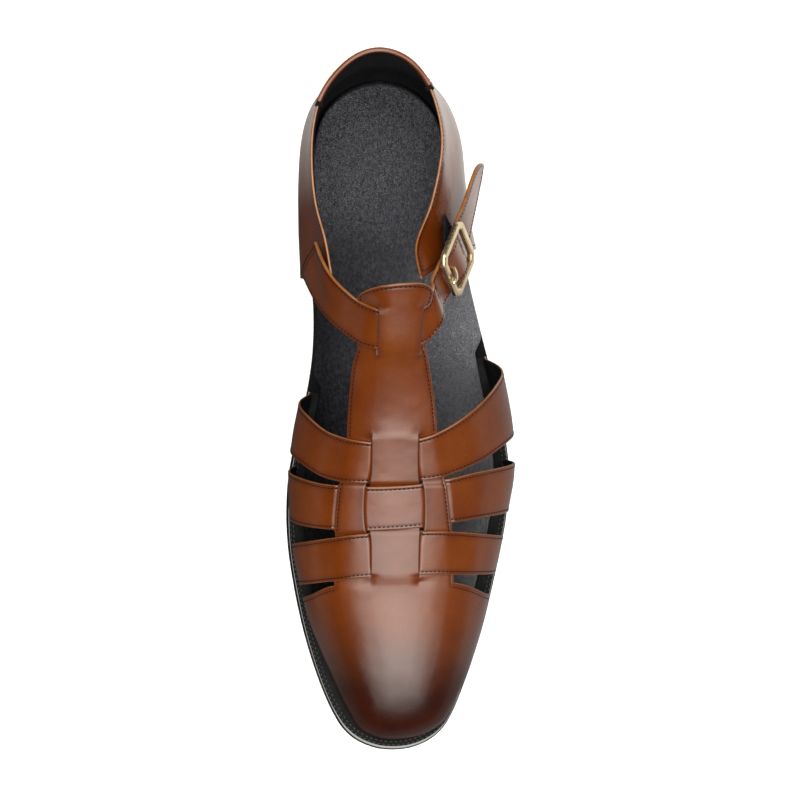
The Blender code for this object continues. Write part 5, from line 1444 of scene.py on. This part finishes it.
for base, zf in ((0, lambda y: 0.0), ((r - 1) * c, lambda y: float(tread_z(y)) - GAP)):
    mid_id = len(verts)
    ring_ids = [base + j for j in range(c)]
    mx, my = np.mean([verts[j][0] for j in ring_ids]), 108.0
    inner = []
    for j in ring_ids:
        x, y, z = verts[j]
        qx, qy = mx + (x - mx) * 0.55, my + (y - my) * 0.55
        verts.append((qx, qy, zf(qy)))
        inner.append(len(verts) - 1)
    verts.append((mx, my, zf(my)))
    m_id = len(verts) - 1
    for j in range(c):
        k = (j + 1) % c
        faces.append((ring_ids[j], ring_ids[k], inner[k], inner[j]))
        faces.append((inner[j], inner[k], m_id))
heel_ob = outward(new_object("heel_stacked", np.array(verts), faces, [HEEL_BLACK]))
heel_ob.data.set_sharp_from_angle(angle=math.radians(50))
finish_piece(heel_ob, "heel", "heel")

seam_ob = outward(seams.make("upper_stitches", THREAD))
finish_piece(seam_ob, "upper")

# ================================================================ floor, light, camera
bpy.ops.mesh.primitive_plane_add(size=30.0, location=(0, 0, -0.0002))
floor = bpy.context.object
floor.name = "floor"
fm, nt, b = shader("pale_floor_painted_shade")
b.inputs["Base Color"].default_value = (0.9, 0.905, 0.91, 1.0)
b.inputs["Roughness"].default_value = 0.9
b.inputs["Specular IOR Level"].default_value = 0.0
# rays other than the camera's see a grey floor with painted shade and light: darker on the medial side, darkest in a
# band along the middle of the shoe, lighter towards its ends and on the lateral side; the camera sees the pale floor
sep = node(nt, "ShaderNodeSeparateXYZ", {0: node(nt, "ShaderNodeTexCoord").outputs["Object"]})
along = remap(nt, sep.outputs["Y"], -0.15, 0.15, 0.0, 1.0, kind="LINEAR")
inner = ramp(nt, along, [(0.05, (0.14, 0.14, 0.142)), (0.17, (0.06, 0.06, 0.062)), (0.33, (0.03, 0.03, 0.032)), (0.80, (0.03, 0.03, 0.032)), (0.94, (0.24, 0.24, 0.243))])
lateral = ramp(nt, along, [(0.05, (0.24, 0.24, 0.242)), (0.17, (0.18, 0.18, 0.182)), (0.30, (0.15, 0.15, 0.152)), (0.60, (0.15, 0.15, 0.152)), (0.74, (0.46, 0.46, 0.462))])
painted_floor_shade = mix(nt, remap(nt, sep.outputs["X"], -0.05, 0.05), inner, lateral)
dim = node(nt, "ShaderNodeBsdfDiffuse", {"Color": painted_floor_shade})
pick = node(nt, "ShaderNodeMixShader", {0: node(nt, "ShaderNodeLightPath").outputs["Is Camera Ray"], 1: dim.outputs[0], 2: b.outputs[0]})
nt.links.new(pick.outputs[0], nt.nodes["Material Output"].inputs["Surface"])
floor.data.materials.append(fm)

world = bpy.data.worlds.new("studio")
scene.world = world
world.use_nodes = True
nt = world.node_tree
bg = nt.nodes["Background"]
vec = node(nt, "ShaderNodeTexCoord").outputs["Generated"]
sep = node(nt, "ShaderNodeSeparateXYZ", {0: vec})
zc = math_node(nt, "MAXIMUM", sep.outputs["Z"], 0.02)
ax = math_node(nt, "DIVIDE", sep.outputs["X"], zc)
ay = math_node(nt, "DIVIDE", sep.outputs["Y"], zc)
box = math_node(nt, "MULTIPLY", remap(nt, ax, 0.42, 1.28, 1.0, 0.0), remap(nt, ay, 0.82, 1.3, 1.0, 0.0))
box = math_node(nt, "MULTIPLY", box, remap(nt, ax, -1.2, -0.6))
box = math_node(nt, "MULTIPLY", box, remap(nt, ay, -1.4, -0.5))
box = math_node(nt, "MULTIPLY", box, remap(nt, sep.outputs["Z"], 0.0, 0.1))
near = math_node(nt, "MULTIPLY", remap(nt, ax, 0.15, 0.55, 1.0, 0.0), remap(nt, ax, -0.45, -0.1))
near = math_node(nt, "MULTIPLY", near, math_node(nt, "MULTIPLY", remap(nt, ay, -0.6, -0.3, 1.0, 0.0), remap(nt, ay, -1.25, -0.8)))
box = math_node(nt, "ADD", box, math_node(nt, "MULTIPLY", near, 0.4))
strength = math_node(nt, "ADD", math_node(nt, "MULTIPLY", box, 5.3), remap(nt, sep.outputs["X"], -0.45, 0.25, 0.03, 0.14))
studio = node(nt, "ShaderNodeBackground", {"Color": (1.0, 0.985, 0.935, 1.0), "Strength": strength})
seen = node(nt, "ShaderNodeBackground", {"Color": (0.95, 0.955, 0.96, 1.0), "Strength": 1.0})
pick = node(nt, "ShaderNodeMixShader", {0: node(nt, "ShaderNodeLightPath").outputs["Is Camera Ray"], 1: studio.outputs[0], 2: seen.outputs[0]})
nt.links.new(pick.outputs[0], nt.nodes["World Output"].inputs["Surface"])

cam_data = bpy.data.cameras.new("camera")
cam = bpy.data.objects.new("camera", cam_data)
scene.collection.objects.link(cam)
eye = (np.array([-55.5, 7.4, 900.0]) + SHIFT) * MM
aim = (np.array([1.0, 3.0, 0.0]) + SHIFT) * MM
zax = unit(eye - aim)
xax = unit(np.cross(np.array([0, 1.0, 0]), zax))
yax = np.cross(zax, xax)
cam.matrix_world = Matrix(((xax[0], yax[0], zax[0], eye[0]), (xax[1], yax[1], zax[1], eye[1]), (xax[2], yax[2], zax[2], eye[2]), (0, 0, 0, 1)))
cam_data.sensor_width = 36.0
cam_data.lens = 36.0 / 2 / (181.5 / 900.0)
cam_data.clip_start, cam_data.clip_end = 0.01, 100.0
scene.camera = cam
scene.view_settings.view_transform = "Standard"
